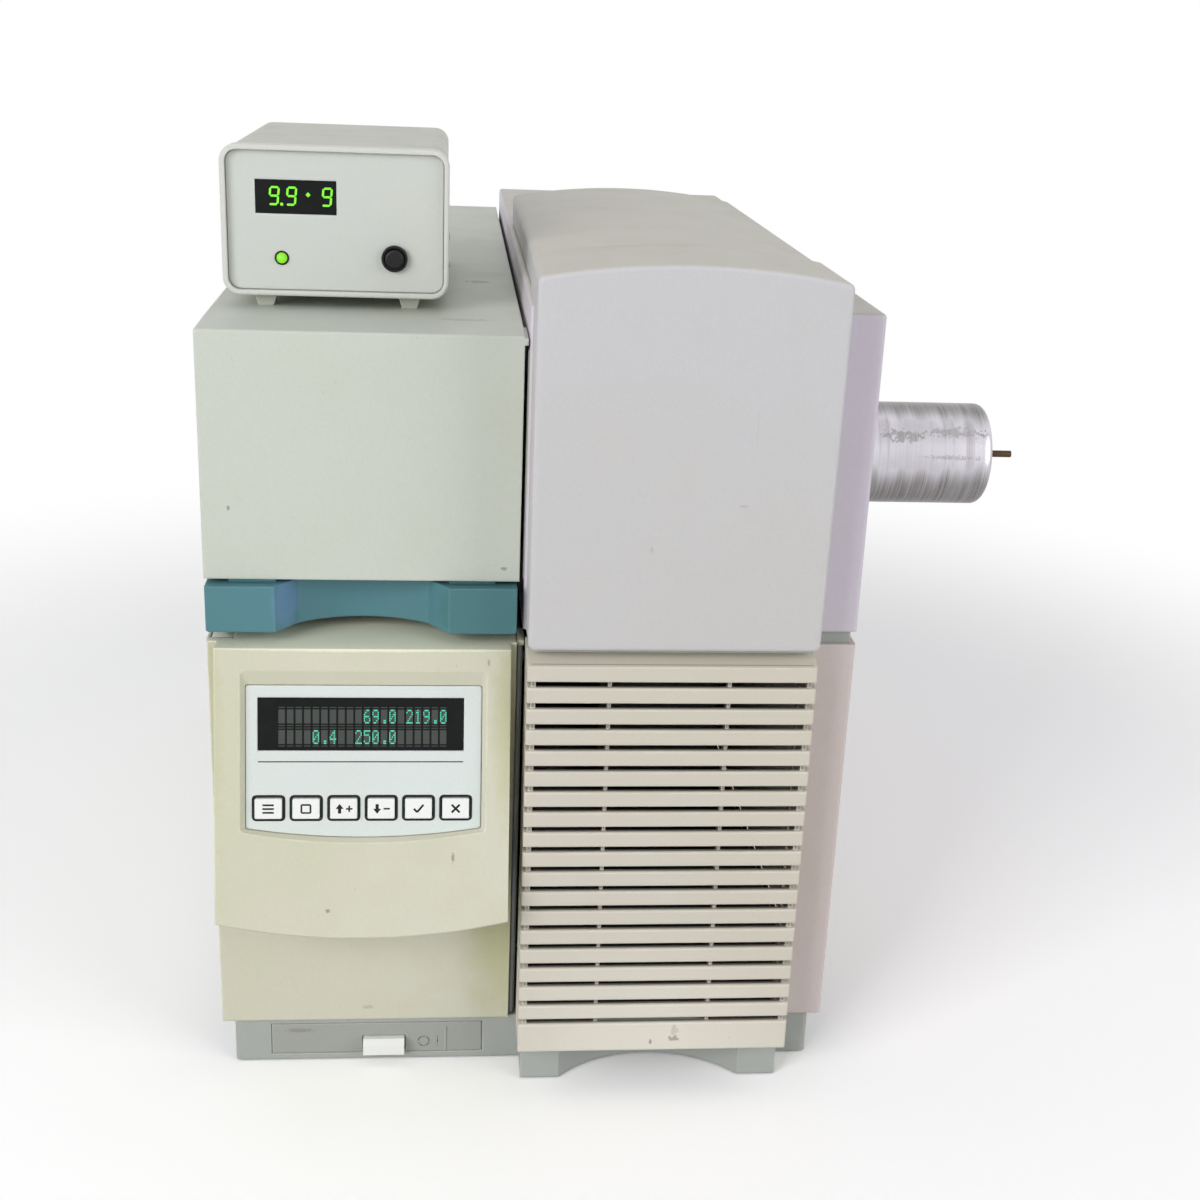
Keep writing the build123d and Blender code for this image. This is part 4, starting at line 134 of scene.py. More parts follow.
class Shader:
    """One material's node tree, with short ways to the nodes that the finishes use."""

    def __init__(self, name: str, world: Optional[bpy.types.World] = None) -> None:
        """Start an empty tree that reads Object coordinates, in a new material or in a world.

        Args:
            name: of the material.
            world: dressed instead of a material.
        """
        self.material = world or bpy.data.materials.new(name)
        self.material.use_nodes = True
        self.tree = self.material.node_tree
        self.tree.nodes.clear()
        self.place = self.node("TexCoord", output="Object")

    def node(
        self, kind: str, settings: Optional[Dict[str, Any]] = None,
        values: Optional[Dict[Union[str, int], Any]] = None, output: Union[str, int] = 0,
    ) -> Field:
        """Add a node.

        Args:
            kind: the node's type, without its ShaderNode prefix.
            settings: its properties, such as an operation, set first.
            values: numbers, colours or Fields for its input sockets.
            output: the output socket to return.

        Returns:
            The chosen output as a Field.
        """
        node = self.tree.nodes.new("ShaderNode" + kind)
        for key, setting in (settings or {}).items():
            setattr(node, key, setting)
        for key, value in (values or {}).items():
            if isinstance(value, Field):
                self.tree.links.new(value.socket, node.inputs[key])
            else:
                node.inputs[key].default_value = value
        return Field(self, node.outputs[output])

    def math(self, operation: str, first: Value, second: Value = 0.0) -> Field:
        """Combine two values with one Math node."""
        return self.node("Math", {"operation": operation}, {0: first, 1: second})

    def mix(self, amount: Value, low: Any, high: Any, blend: str = "MIX") -> Field:
        """Blend two colours.

        Args:
            amount: 0 gives low, 1 gives high.
            low: the first colour or Field.
            high: the second colour or Field.
            blend: the Mix node's blend type.

        Returns:
            The mixed colour.
        """
        settings = {"data_type": "RGBA", "blend_type": blend}
        return self.node("Mix", settings, {0: amount, 6: low, 7: high}, 2)

    def axis(self, index: int) -> Field:
        """Return one Object coordinate: 0 is X, 1 is Y and 2 is Z."""
        return self.node("SeparateXYZ", values={0: self.place}, output=index)

    def stretched(self, scale: Point) -> Field:
        """Return Object coordinates multiplied along each axis."""
        return self.node("Mapping", values={"Vector": self.place, "Scale": scale})

    def noise(self, scale: float, detail: float = 2.0, rough: float = 0.5,
              stretch: Optional[Point] = None) -> Field:
        """Return fractal noise, about 0.5 on average.

        Args:
            scale: patches a metre.
            detail: octaves.
            rough: weight of the fine octaves.
            stretch: factors on the coordinates, for streaks.

        Returns:
            The noise.
        """
        place = self.stretched(stretch) if stretch else self.place
        values = {"Vector": place, "Scale": scale, "Detail": detail, "Roughness": rough}
        return self.node("TexNoise", values=values)

    def cells(self, scale: float, output: int = 0) -> Field:
        """Return a Voronoi texture: output 0 is the distance, 1 a colour for each cell."""
        return self.node("TexVoronoi", values={"Vector": self.place, "Scale": scale}, output=output)

    def away(self, centre: Point, reach: Point) -> Field:
        """Return the distance from a centre, in units of a reach along each axis.

        Args:
            centre: in metres.
            reach: how far the unit goes along each axis, in metres.

        Returns:
            The distance, 1 at the reach.
        """
        moved = self.node("VectorMath", {"operation": "SUBTRACT"}, {0: self.place, 1: centre})
        scale = tuple(1.0 / max(r, 1e-6) for r in reach)
        scaled = self.node("VectorMath", {"operation": "MULTIPLY"}, {0: moved, 1: scale})
        return self.node("VectorMath", {"operation": "LENGTH"}, {0: scaled}, "Value")

    def along(self, vector: Field, way: Union[Point, Field]) -> Field:
        """Return how far a vector reaches along another: their dot product."""
        return self.node("VectorMath", {"operation": "DOT_PRODUCT"}, {0: vector, 1: way}, "Value")

    def facing_up(self) -> Field:
        """Return 1 where the surface faces up and 0 where it is steep."""
        flat = self.node("NewGeometry", output="True Normal")
        return self.along(flat, (0.0, 0.0, 1.0)).rise(0.45, 0.85)

    def rounded(self, radius: float) -> Field:
        """Return the normal of the surface with its edges rounded to a radius."""
        return self.node("Bevel", {"samples": 4}, {"Radius": radius})

    def edges(self, normal: Field) -> Field:
        """Return 1 at the rounded edges and 0 on the flats."""
        flat = self.node("NewGeometry", output="True Normal")
        return (1.0 - self.along(normal, flat)).rise(0.01, 0.16)

    def bump(self, height: Value, depth: float, normal: Optional[Field] = None) -> Field:
        """Return the normal of a surface raised by a height field of a depth in metres.

        Args:
            height: the field, from about 0 to 1.
            depth: how far a height of 1 stands up, in metres.
            normal: the normal that is bent; the surface's own by default.

        Returns:
            The bent normal.
        """
        values: Dict[Union[str, int], Any] = {"Height": height, "Distance": depth, "Strength": 1.0}
        if normal is not None:
            values["Normal"] = normal
        return self.node("Bump", values=values)

    def close(self, surface: Field, kind: str = "Material") -> None:
        """Link a surface to the output of a material or a world."""
        output = self.tree.nodes.new("ShaderNodeOutput" + kind)
        self.tree.links.new(surface.socket, output.inputs["Surface"])

    def finish(self, values: Dict[Union[str, int], Any]) -> bpy.types.Material:
        """Close the tree with one Principled BSDF and return the material."""
        self.close(self.node("BsdfPrincipled", values=values))
        return self.material


# ================================================================ finishes
@dataclass(frozen=True)
class Mark:
    """A scuff, stain or scratch at one place: centre and reach in millimetres, and how strong it
    is, how ragged its rim is and how softly it fades."""

    centre: Point
    reach: Point
    strength: float = 0.6
    ragged: float = 0.9
    soft: float = 0.2

    def mask(self, s: Shader) -> Field:
        """Return where the mark lies, from 0 to its strength, ragged at its rim.

        Args:
            s: the shader that it is drawn in.

        Returns:
            The mark's strength at each place.
        """
        centre = tuple(c * MM for c in self.centre)
        reach = tuple(r * MM for r in self.reach)
        size = min(self.reach) * MM
        rim = (s.noise(1.2 / size, 3.0, 0.65) - 0.5) * (2.0 * self.ragged)
        return (s.away(centre, reach) + rim).rise(1.0, 1.0 - self.soft) * self.strength


@dataclass(frozen=True)
class Moulded:
    """Textured plastic or paint that has yellowed, been handled and picked up scuffs, with its edges
    lightened by wear and by a painted highlight.

    Marks are dark scuffs, tints are patches that take the aged colour, washes paint a colour of their own
    over a patch (painted light on the lower cover's shelf and on the louvre, a painted reflection on the
    handle), the top tone is how far what faces up takes the aged colour, and the shade box (its middle and
    half its size, in millimetres) is painted dark as shade behind the outer faces.
    """

    name: str
    colour: Colour
    aged: Colour
    grime_and_shade: Colour = (0.20, 0.18, 0.15, 1.0)
    roughness: float = 0.5
    grain: float = 1500.0
    grain_depth: float = 0.00003
    ageing: float = 0.5
    wear: float = 0.3
    edge: float = 0.0013
    specular: float = 0.33
    marks: Tuple[Mark, ...] = ()
    tints: Tuple[Mark, ...] = ()
    washes: Tuple[Tuple[Mark, Colour], ...] = ()
    shade_box: Optional[Tuple[Point, Point]] = None
    top_tone: float = 0.0

    def material(self) -> bpy.types.Material:
        """Build the material: clouds of yellowing, fine speckle, scuffs, specks, and edges lightened by
        wear and by a painted highlight.

        Returns:
            The material.
        """
        s = Shader(self.name)
        cloud = s.noise(6.0, 3.0).rise(0.35, 0.7)
        blotch = s.noise(38.0, 4.0, 0.6).rise(0.4, 0.75)
        yellowing = (cloud * 0.7 + blotch * 0.3) * self.ageing
        for tint in self.tints:
            yellowing = s.math("MAXIMUM", yellowing, tint.mask(s))
        # faces that point up take the aged colour
        if self.top_tone > 0.0:
            yellowing = s.math("MAXIMUM", yellowing, s.facing_up() * self.top_tone)
        colour = s.mix(yellowing, self.colour, self.aged)
        # each wash paints its colour over a patch: painted light on the shelf and the louvre, a painted
        # reflection on the handle
        for wash, wash_colour in self.washes:
            colour = s.mix(wash.mask(s), colour, wash_colour)
        speckle = s.noise(self.grain, 1.0)
        shade = 0.94 + speckle * 0.12
        grey = s.node("CombineColor", values={0: shade, 1: shade, 2: shade})
        colour = s.mix(1.0, colour, grey, "MULTIPLY")
        specks = s.cells(170.0).rise(0.10, 0.05) * s.noise(21.0, 2.0).rise(0.56, 0.68)
        streaks = s.noise(1.0, 2.0, 0.5, (900.0, 900.0, 25.0)).rise(0.70, 0.78)
        streaks = streaks * s.noise(17.0, 3.0).rise(0.52, 0.7)
        dirt = (specks * 0.5 + streaks * 0.25) * self.wear
        for mark in self.marks:
            dirt = s.math("MAXIMUM", dirt, mark.mask(s))
        colour = s.mix(dirt, colour, self.grime_and_shade)
        # painted shade: inside the shade box the colour goes most of the way to the dark grime colour
        if self.shade_box is not None:
            colour = s.mix(self._inside(s) * 0.85, colour, self.grime_and_shade)
        normal = s.rounded(self.edge)
        # painted highlight: every rounded edge is lightened, more where the wear noise rises
        edge_wear_and_highlight = s.edges(normal) * (0.55 + s.noise(60.0, 3.0).rise(0.35, 0.65) * self.wear)
        light = tuple(min(1.0, c * 1.4 + 0.04) for c in self.colour[:3]) + (1.0,)
        colour = s.mix(edge_wear_and_highlight, colour, light)
        rough = self.roughness + (blotch - 0.5) * 0.10 + dirt * 0.15
        height = speckle + streaks * -0.8 * self.wear
        return s.finish({
            "Base Color": colour, "Roughness": rough, "Specular IOR Level": self.specular,
            "Normal": s.bump(height, self.grain_depth, normal),
        })

    def _inside(self, s: Shader) -> Field:
        """Return 1 inside the box that is painted dark as shade.

        Args:
            s: the shader that it is drawn in.

        Returns:
            1 inside and 0 outside.
        """
        middle, half = self.shade_box
        inside: Value = 1.0
        for index in range(3):
            off = s.math("ABSOLUTE", s.axis(index) - middle[index] * MM)
            inside = off.rise(half[index] * MM, (half[index] - 0.25) * MM) * inside
        return inside


class Lay(Enum):
    """Which way a metal's fine lines run."""

    ROUND_X = (2500.0, 3.0, 3.0)
    ALONG_Z = (1400.0, 1400.0, 6.0)
    CAST = (700.0, 700.0, 700.0)


@dataclass(frozen=True)
class Metal:
    """Bare or plated metal with machining lines, stains and scratches, and on the turned tube a painted
    reflection: a bright band with dark above and below.
    """

    name: str
    colour: Colour
    stain_and_reflection_colour: Colour
    roughness: float = 0.35
    lay: Lay = Lay.CAST
    lines: float = 0.5
    stains: float = 0.4
    edge: float = 0.0004
    spangle: float = 0.0
    polished: Optional[Tuple[Point, Point, float, float]] = None
    bands: float = 0.0
    tints: Tuple[Mark, ...] = ()

    def material(self) -> bpy.types.Material:
        """Build the material: lines along the lay, cloudy stains, crossing scratches and any painted
        reflection.

        Returns:
            The material; the reflection band holds a point and a direction, both along the bright band, and
            how far across it the painted dark reflection starts and is full, in millimetres.
        """
        s = Shader(self.name)
        line = s.noise(1.0, 3.0, 0.6, self.lay.value)
        cloud = s.noise(30.0, 4.0, 0.6).rise(0.42, 0.72)
        flake = s.node("SeparateColor", values={0: s.cells(160.0, 1)}) - 0.5
        scratch = s.noise(1.0, 1.0, 0.5, (60.0, 1100.0, 1900.0)).rise(0.68, 0.74)
        scratch = s.math("MAXIMUM", scratch, s.noise(1.0, 1.0, 0.5, (1500.0, 800.0, 70.0)).rise(0.70, 0.76))
        scratch = scratch * s.noise(22.0, 2.0).rise(0.45, 0.6)
        stain_and_reflection = cloud * self.stains
        if self.polished is not None:
            # painted reflection: the metal darkens away from a bright band
            stain_and_reflection = s.math("MAXIMUM", stain_and_reflection * 0.6, self._dark_reflection(s))
        if self.bands > 0.0:
            wide = s.noise(1.0, 2.0, 0.6, (95.0, 5.0, 5.0)).rise(0.44, 0.60)
            stain_and_reflection = s.math("MAXIMUM", stain_and_reflection, wide * self.bands)
        for tint in self.tints:
            stain_and_reflection = s.math("MAXIMUM", stain_and_reflection, tint.mask(s))
        colour = s.mix(stain_and_reflection, self.colour, self.stain_and_reflection_colour)
        light = tuple(min(1.0, c * 1.2) for c in self.colour[:3]) + (1.0,)
        colour = s.mix((line - 0.35) * self.lines + flake * self.spangle, colour, light)
        rough = self.roughness + (line - 0.5) * 0.2 * self.lines + cloud * 0.18 * self.stains
        rough = rough + scratch * 0.12 + flake * self.spangle * 0.3
        height = line * self.lines - scratch * 1.5
        return s.finish({
            "Base Color": colour, "Roughness": rough, "Metallic": 1.0,
            "Normal": s.bump(height, 0.00002, s.rounded(self.edge)),
        })

    def _dark_reflection(self, s: Shader) -> Field:
        """Return the painted dark reflection: dark above and below the bright band, by the distance across
        it.

        Args:
            s: the shader that it is drawn in.

        Returns:
            0 in the band, rising to nearly 1 away from it.
        """
        centre, across, start, end = self.polished
        moved = s.node(
            "VectorMath", {"operation": "SUBTRACT"}, {0: s.place, 1: tuple(c * MM for c in centre)})
        band = s.noise(1.0, 2.0, 0.5, (160.0, 4.0, 4.0)) - 0.5
        level = s.math("ABSOLUTE", s.along(moved, across))
        return (level + band * 0.012).rise(start * MM, end * MM) * 0.95


@dataclass(frozen=True)
class Gloss:
    """Smooth moulded plastic or a filter: faint dust, fine hairlines and fingermarks."""

    name: str
    colour: Colour
    dust: Colour = (0.45, 0.45, 0.42, 1.0)
    roughness: float = 0.18
    dusty: float = 0.12
    edge: float = 0.0003
    specular: float = 0.5
    alpha: float = 1.0

    def material(self) -> bpy.types.Material:
        """Build the material: dust in clouds, hairlines and a slightly uneven gloss.

        Returns:
            The material.
        """
        s = Shader(self.name)
        cloud = s.noise(90.0, 4.0, 0.65).rise(0.42, 0.7)
        dots = s.cells(900.0).rise(0.16, 0.08) * s.noise(70.0, 2.0).rise(0.45, 0.65)
        hair = s.noise(1.0, 1.0, 0.5, (300.0, 2600.0, 2600.0)).rise(0.70, 0.75)
        soil = cloud * 0.5 + dots * 0.7 + hair * 0.3
        colour = s.mix(soil * self.dusty, self.colour, self.dust)
        return s.finish({
            "Base Color": colour, "Roughness": self.roughness + cloud * 0.12 + hair * 0.1,
            "Specular IOR Level": self.specular, "Alpha": self.alpha,
            "Normal": s.bump(s.noise(400.0, 2.0) - hair * 0.5, 0.00001, s.rounded(self.edge)),
        })


@dataclass(frozen=True)
class Lit:
    """A lamp or lit character: glowing, a little brighter at its core."""

    name: str
    colour: Colour
    glow: Colour
    strength: float = 1.0

    def material(self) -> bpy.types.Material:
        """Build the material: a coloured lens with a mottled glow.

        Returns:
            The material.
        """
        s = Shader(self.name)
        core = s.noise(500.0, 2.0).rise(0.25, 0.75)
        dim = tuple(c * 0.75 for c in self.glow[:3]) + (1.0,)
        return s.finish({
            "Base Color": self.colour, "Roughness": 0.3 + core * 0.1,
            "Emission Color": s.mix(core, dim, self.glow), "Emission Strength": self.strength,
        })


@dataclass(frozen=True)
class Print:
    """Ink that has partly worn off what it is printed on."""

    name: str
    colour: Colour
    worn: float = 0.5
    grain: float = 700.0

    def material(self) -> bpy.types.Material:
        """Build the material: matt ink whose alpha drops out in ragged patches.

        Returns:
            The material.
        """
        s = Shader(self.name)
        patch = s.noise(self.grain, 3.0, 0.6)
        return s.finish({
            "Base Color": self.colour, "Roughness": 0.55 + patch * 0.1,
            "Alpha": patch.rise(self.worn - 0.08, self.worn + 0.05),
        })


@dataclass(frozen=True)
class Board:
    """Circuit board: green mask over copper tracks, with pads."""

    name: str
    mask: Colour
    track: Colour

    def material(self) -> bpy.types.Material:
        """Build the material: tracks as bands of two crossed brick patterns.

        Returns:
            The material.
        """
        s = Shader(self.name)
        place = s.node("Mapping", values={"Vector": s.place, "Rotation": (0.0, math.pi / 2, 0.0)})
        lines = s.node("TexBrick", {"offset": 0.35}, {
            "Vector": place, "Color1": (1, 1, 1, 1), "Color2": (1, 1, 1, 1), "Mortar": (0, 0, 0, 1),
            "Scale": 160.0, "Mortar Size": 0.06})
        tracks = s.node("SeparateColor", values={0: lines})
        pads = s.cells(260.0).rise(0.22, 0.16)
        colour = s.mix((1.0 - tracks) * 0.6, self.mask, self.track)
        colour = s.mix(pads * 0.7, colour, (0.62, 0.62, 0.6, 1.0))
        return s.finish({
            "Base Color": colour, "Roughness": 0.35 + s.noise(80.0, 3.0) * 0.2,
            "Normal": s.bump(tracks + pads, 0.00004),
        })


# ================================================================ surfaces
def rounded_outline(width: float, height: float, radius: float, steps: int = 5) -> np.ndarray:
    """Points round a rectangle with arc corners: arc centres plus radius times direction.

    Args:
        width: along the first axis.
        height: along the second axis.
        radius: corner radius.
        steps: points on each corner.

    Returns:
        Array (4 * steps, 4): arc centre and unit direction, so that a ring can be inset.
    """
    turn = np.arange(4)[:, None] * math.pi / 2 + np.linspace(0.0, math.pi / 2, steps)[None, :]
    ray = np.stack([np.cos(turn), np.sin(turn)], axis=-1)
    sign = np.array([[1, 1], [-1, 1], [-1, -1], [1, -1]])[:, None, :]
    half = np.array([width / 2 - radius, height / 2 - radius])
    centre = np.broadcast_to(sign * half, ray.shape)
    return np.concatenate([centre, ray * radius], axis=-1).reshape(-1, 4)


def rings(outline: np.ndarray, profile: Profile) -> np.ndarray:
    """Carry a profile round an outline: ring k is the outline shrunk by inset k at height k.

    Args:
        outline: (n, 4) from rounded_outline.
        profile: (inset, height) for each ring, from the foot to the crown.

    Returns:
        Array (rings, n, 3) in the outline's own axes.
    """
    steps = np.array(profile, dtype=float)
    length = np.linalg.norm(outline[:, 2:], axis=1)[None, :, None]
    share = 1.0 - steps[:, 0][:, None, None] / np.maximum(length, 1e-9)
    flat = outline[None, :, :2] + outline[None, :, 2:] * share
    high = np.broadcast_to(steps[:, 1][:, None, None], flat.shape[:2] + (1,))
    return np.concatenate([flat, high], axis=-1)


def turned_rings(profile: Profile, steps: int = 32) -> np.ndarray:
    """Turn a (radius, height) profile about the third axis: point = radius * (cos t, sin t), height.

    Args:
        profile: radius and height of each ring.
        steps: points round each ring.

    Returns:
        Array (rings, steps, 3).
    """
    shape = np.array(profile, dtype=float)
    turn = np.linspace(0.0, 2 * math.pi, steps, endpoint=False)
    ring = np.stack([np.cos(turn), np.sin(turn)], axis=-1)
    flat = shape[:, 0][:, None, None] * ring[None]
    high = np.broadcast_to(shape[:, 1][:, None, None], flat.shape[:2] + (1,))
    return np.concatenate([flat, high], axis=-1)


def plate(outline: np.ndarray, thick: float, lean: float = 0.94) -> np.ndarray:
    """Raise a flat outline, drawing its top ring in towards its centre for a soft rim.

    Args:
        outline: (n, 2), anticlockwise.
        thick: height of the top.
        lean: size of the top ring as a share of the foot.

    Returns:
        Array (3, n, 3) of rings.
    """
    centre = outline.mean(axis=0)
    sizes = np.array([1.0, 1.0, lean])[:, None, None]
    heights = np.array([0.0, thick * 0.6, thick])[:, None, None]
    flat = centre + (outline - centre)[None] * sizes
    return np.concatenate([flat, np.broadcast_to(heights, flat.shape[:2] + (1,))], axis=-1)


def pad(width: float, height: float, radius: float, thick: float, soft: float = 0.3) -> np.ndarray:
    """Rings of a raised plate whose rim is eased by soft, all in millimetres."""
    profile = [(0.0, 0.0), (0.0, thick - soft), (soft * 0.3, thick - soft * 0.3), (soft, thick)]
    return rings(rounded_outline(width, height, max(radius, soft + 0.01)), profile)


def border(width: float, height: float, radius: float, band: float, thick: float,
           soft: float = 0.1) -> np.ndarray:
    """Rings of a raised frame: its section is a band with eased edges, carried round an outline.

    Args:
        width: outside, along the first axis.
        height: outside, along the second axis.
        radius: outside corner radius, larger than the band.
        band: width of the frame's own strip.
        thick: how far it stands up.
        soft: easing of its two upper edges.

    Returns:
        Array (6, n, 3); the last ring joins the first.
    """
    profile = [
        (0.0, 0.0), (0.0, thick - soft), (soft, thick), (band - soft, thick), (band, thick - soft),
        (band, 0.0)]
    return rings(rounded_outline(width, height, max(radius, band + 0.02)), profile)


def stroke(start: Flat, end: Flat, thick: float, point: float = 0.0) -> np.ndarray:
    """Outline of a straight stroke; its ends reach past start and end by point, in a chevron.

    Args:
        start: one end of the middle line.
        end: the other end.
        thick: width of the stroke.
        point: how far each pointed end reaches.

    Returns:
        Array (6, 2), anticlockwise.
    """
    ends = np.array([start, end], dtype=float)
    along = (ends[1] - ends[0]) / np.linalg.norm(ends[1] - ends[0])
    side = np.array([-along[1], along[0]]) * thick / 2
    tips = ends + np.array([[-point], [point]]) * along
    return np.array([tips[0], ends[0] - side, ends[1] - side, tips[1], ends[1] + side, ends[0] + side])


@dataclass(frozen=True)
class Place:
    """A flat place on a part: an origin and its right and up directions, in millimetres."""

    origin: Point
    right: Point = (1.0, 0.0, 0.0)
    up: Point = (0.0, 0.0, 1.0)

    def axes(self) -> np.ndarray:
        """Return the right, up and outward directions as rows.

        Returns:
            Array (3, 3); the outward row is right x up.
        """
        right = np.array(self.right, dtype=float)
        up = np.array(self.up, dtype=float)
        return np.stack([right, up, np.cross(right, up)])

    def carry(self, points: np.ndarray) -> np.ndarray:
        """Move points (..., 3) given as right, up and outward into the part, in metres."""
        return (np.array(self.origin) + points @ self.axes()) * MM

    def moved(self, right: float, up: float, out: float = 0.0) -> "Place":
        """Return the same directions about a shifted origin."""
        spot = np.array(self.origin) + np.array([right, up, out]) @ self.axes()
        return Place(tuple(spot), self.right, self.up)


BACKWARD = ((-1.0, 0.0, 0.0), (0.0, 0.0, 1.0))
RIGHTWARD = ((0.0, 1.0, 0.0), (0.0, 0.0, 1.0))
LEFTWARD = ((0.0, -1.0, 0.0), (0.0, 0.0, 1.0))
DOWNWARD = ((1.0, 0.0, 0.0), (0.0, -1.0, 0.0))


class Piece:
    """A mesh under construction: stacks of rings are added, then made one object."""

    def __init__(self, name: str) -> None:
        """Start an empty piece.

        Args:
            name: of the piece and of its mesh.
        """
        self.name = name
        self.points: List[np.ndarray] = []
        self.quads: List[np.ndarray] = []
        self.caps: List[List[int]] = []
        self.count = 0

    def add(self, stack: np.ndarray, closed: bool = False) -> None:
        """Add closed rings joined by quads.

        Args:
            stack: (rings, n, 3) in metres, or (copies, rings, n, 3).
            closed: join the last ring to the first; otherwise both get an end face.
        """
        stack = stack if stack.ndim == 4 else stack[None]
        copies, levels, n, _ = stack.shape
        index = self.count + np.arange(copies * levels * n).reshape(copies, levels, n)
        low = index if closed else index[:, :-1]
        high = np.roll(index, -1, axis=1) if closed else index[:, 1:]
        quads = np.stack(
            [low, np.roll(low, -1, axis=2), np.roll(high, -1, axis=2), high], axis=-1)
        self.points.append(stack.reshape(-1, 3))
        self.quads.append(quads.reshape(-1, 4))
        if not closed:
            self.caps += index[:, 0, ::-1].tolist() + index[:, -1].tolist()
        self.count += copies * levels * n

    def object(self, material: bpy.types.Material, body: str,
               smooth: bool = True) -> bpy.types.Object:
        """Make the object, dress it and let it ride.

        Args:
            material: its finish.
            body: the moving body that carries it.
            smooth: shade smoothly across edges under 40 degrees.

        Returns:
            The new object, at the origin.
        """
        mesh = bpy.data.meshes.new(self.name)
        faces = np.concatenate(self.quads).tolist() + self.caps
        mesh.from_pydata(np.concatenate(self.points).tolist(), [], faces)
        mesh.update()
        item = bpy.data.objects.new(self.name, mesh)
        bpy.context.scene.collection.objects.link(item)
        mesh.materials.append(material)
        if smooth:
            mesh.shade_smooth()
            mesh.set_sharp_from_angle(angle=math.radians(40.0))
        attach(item, body)
        LOG.info("%s: %d points on %s", self.name, self.count, body)
        return item


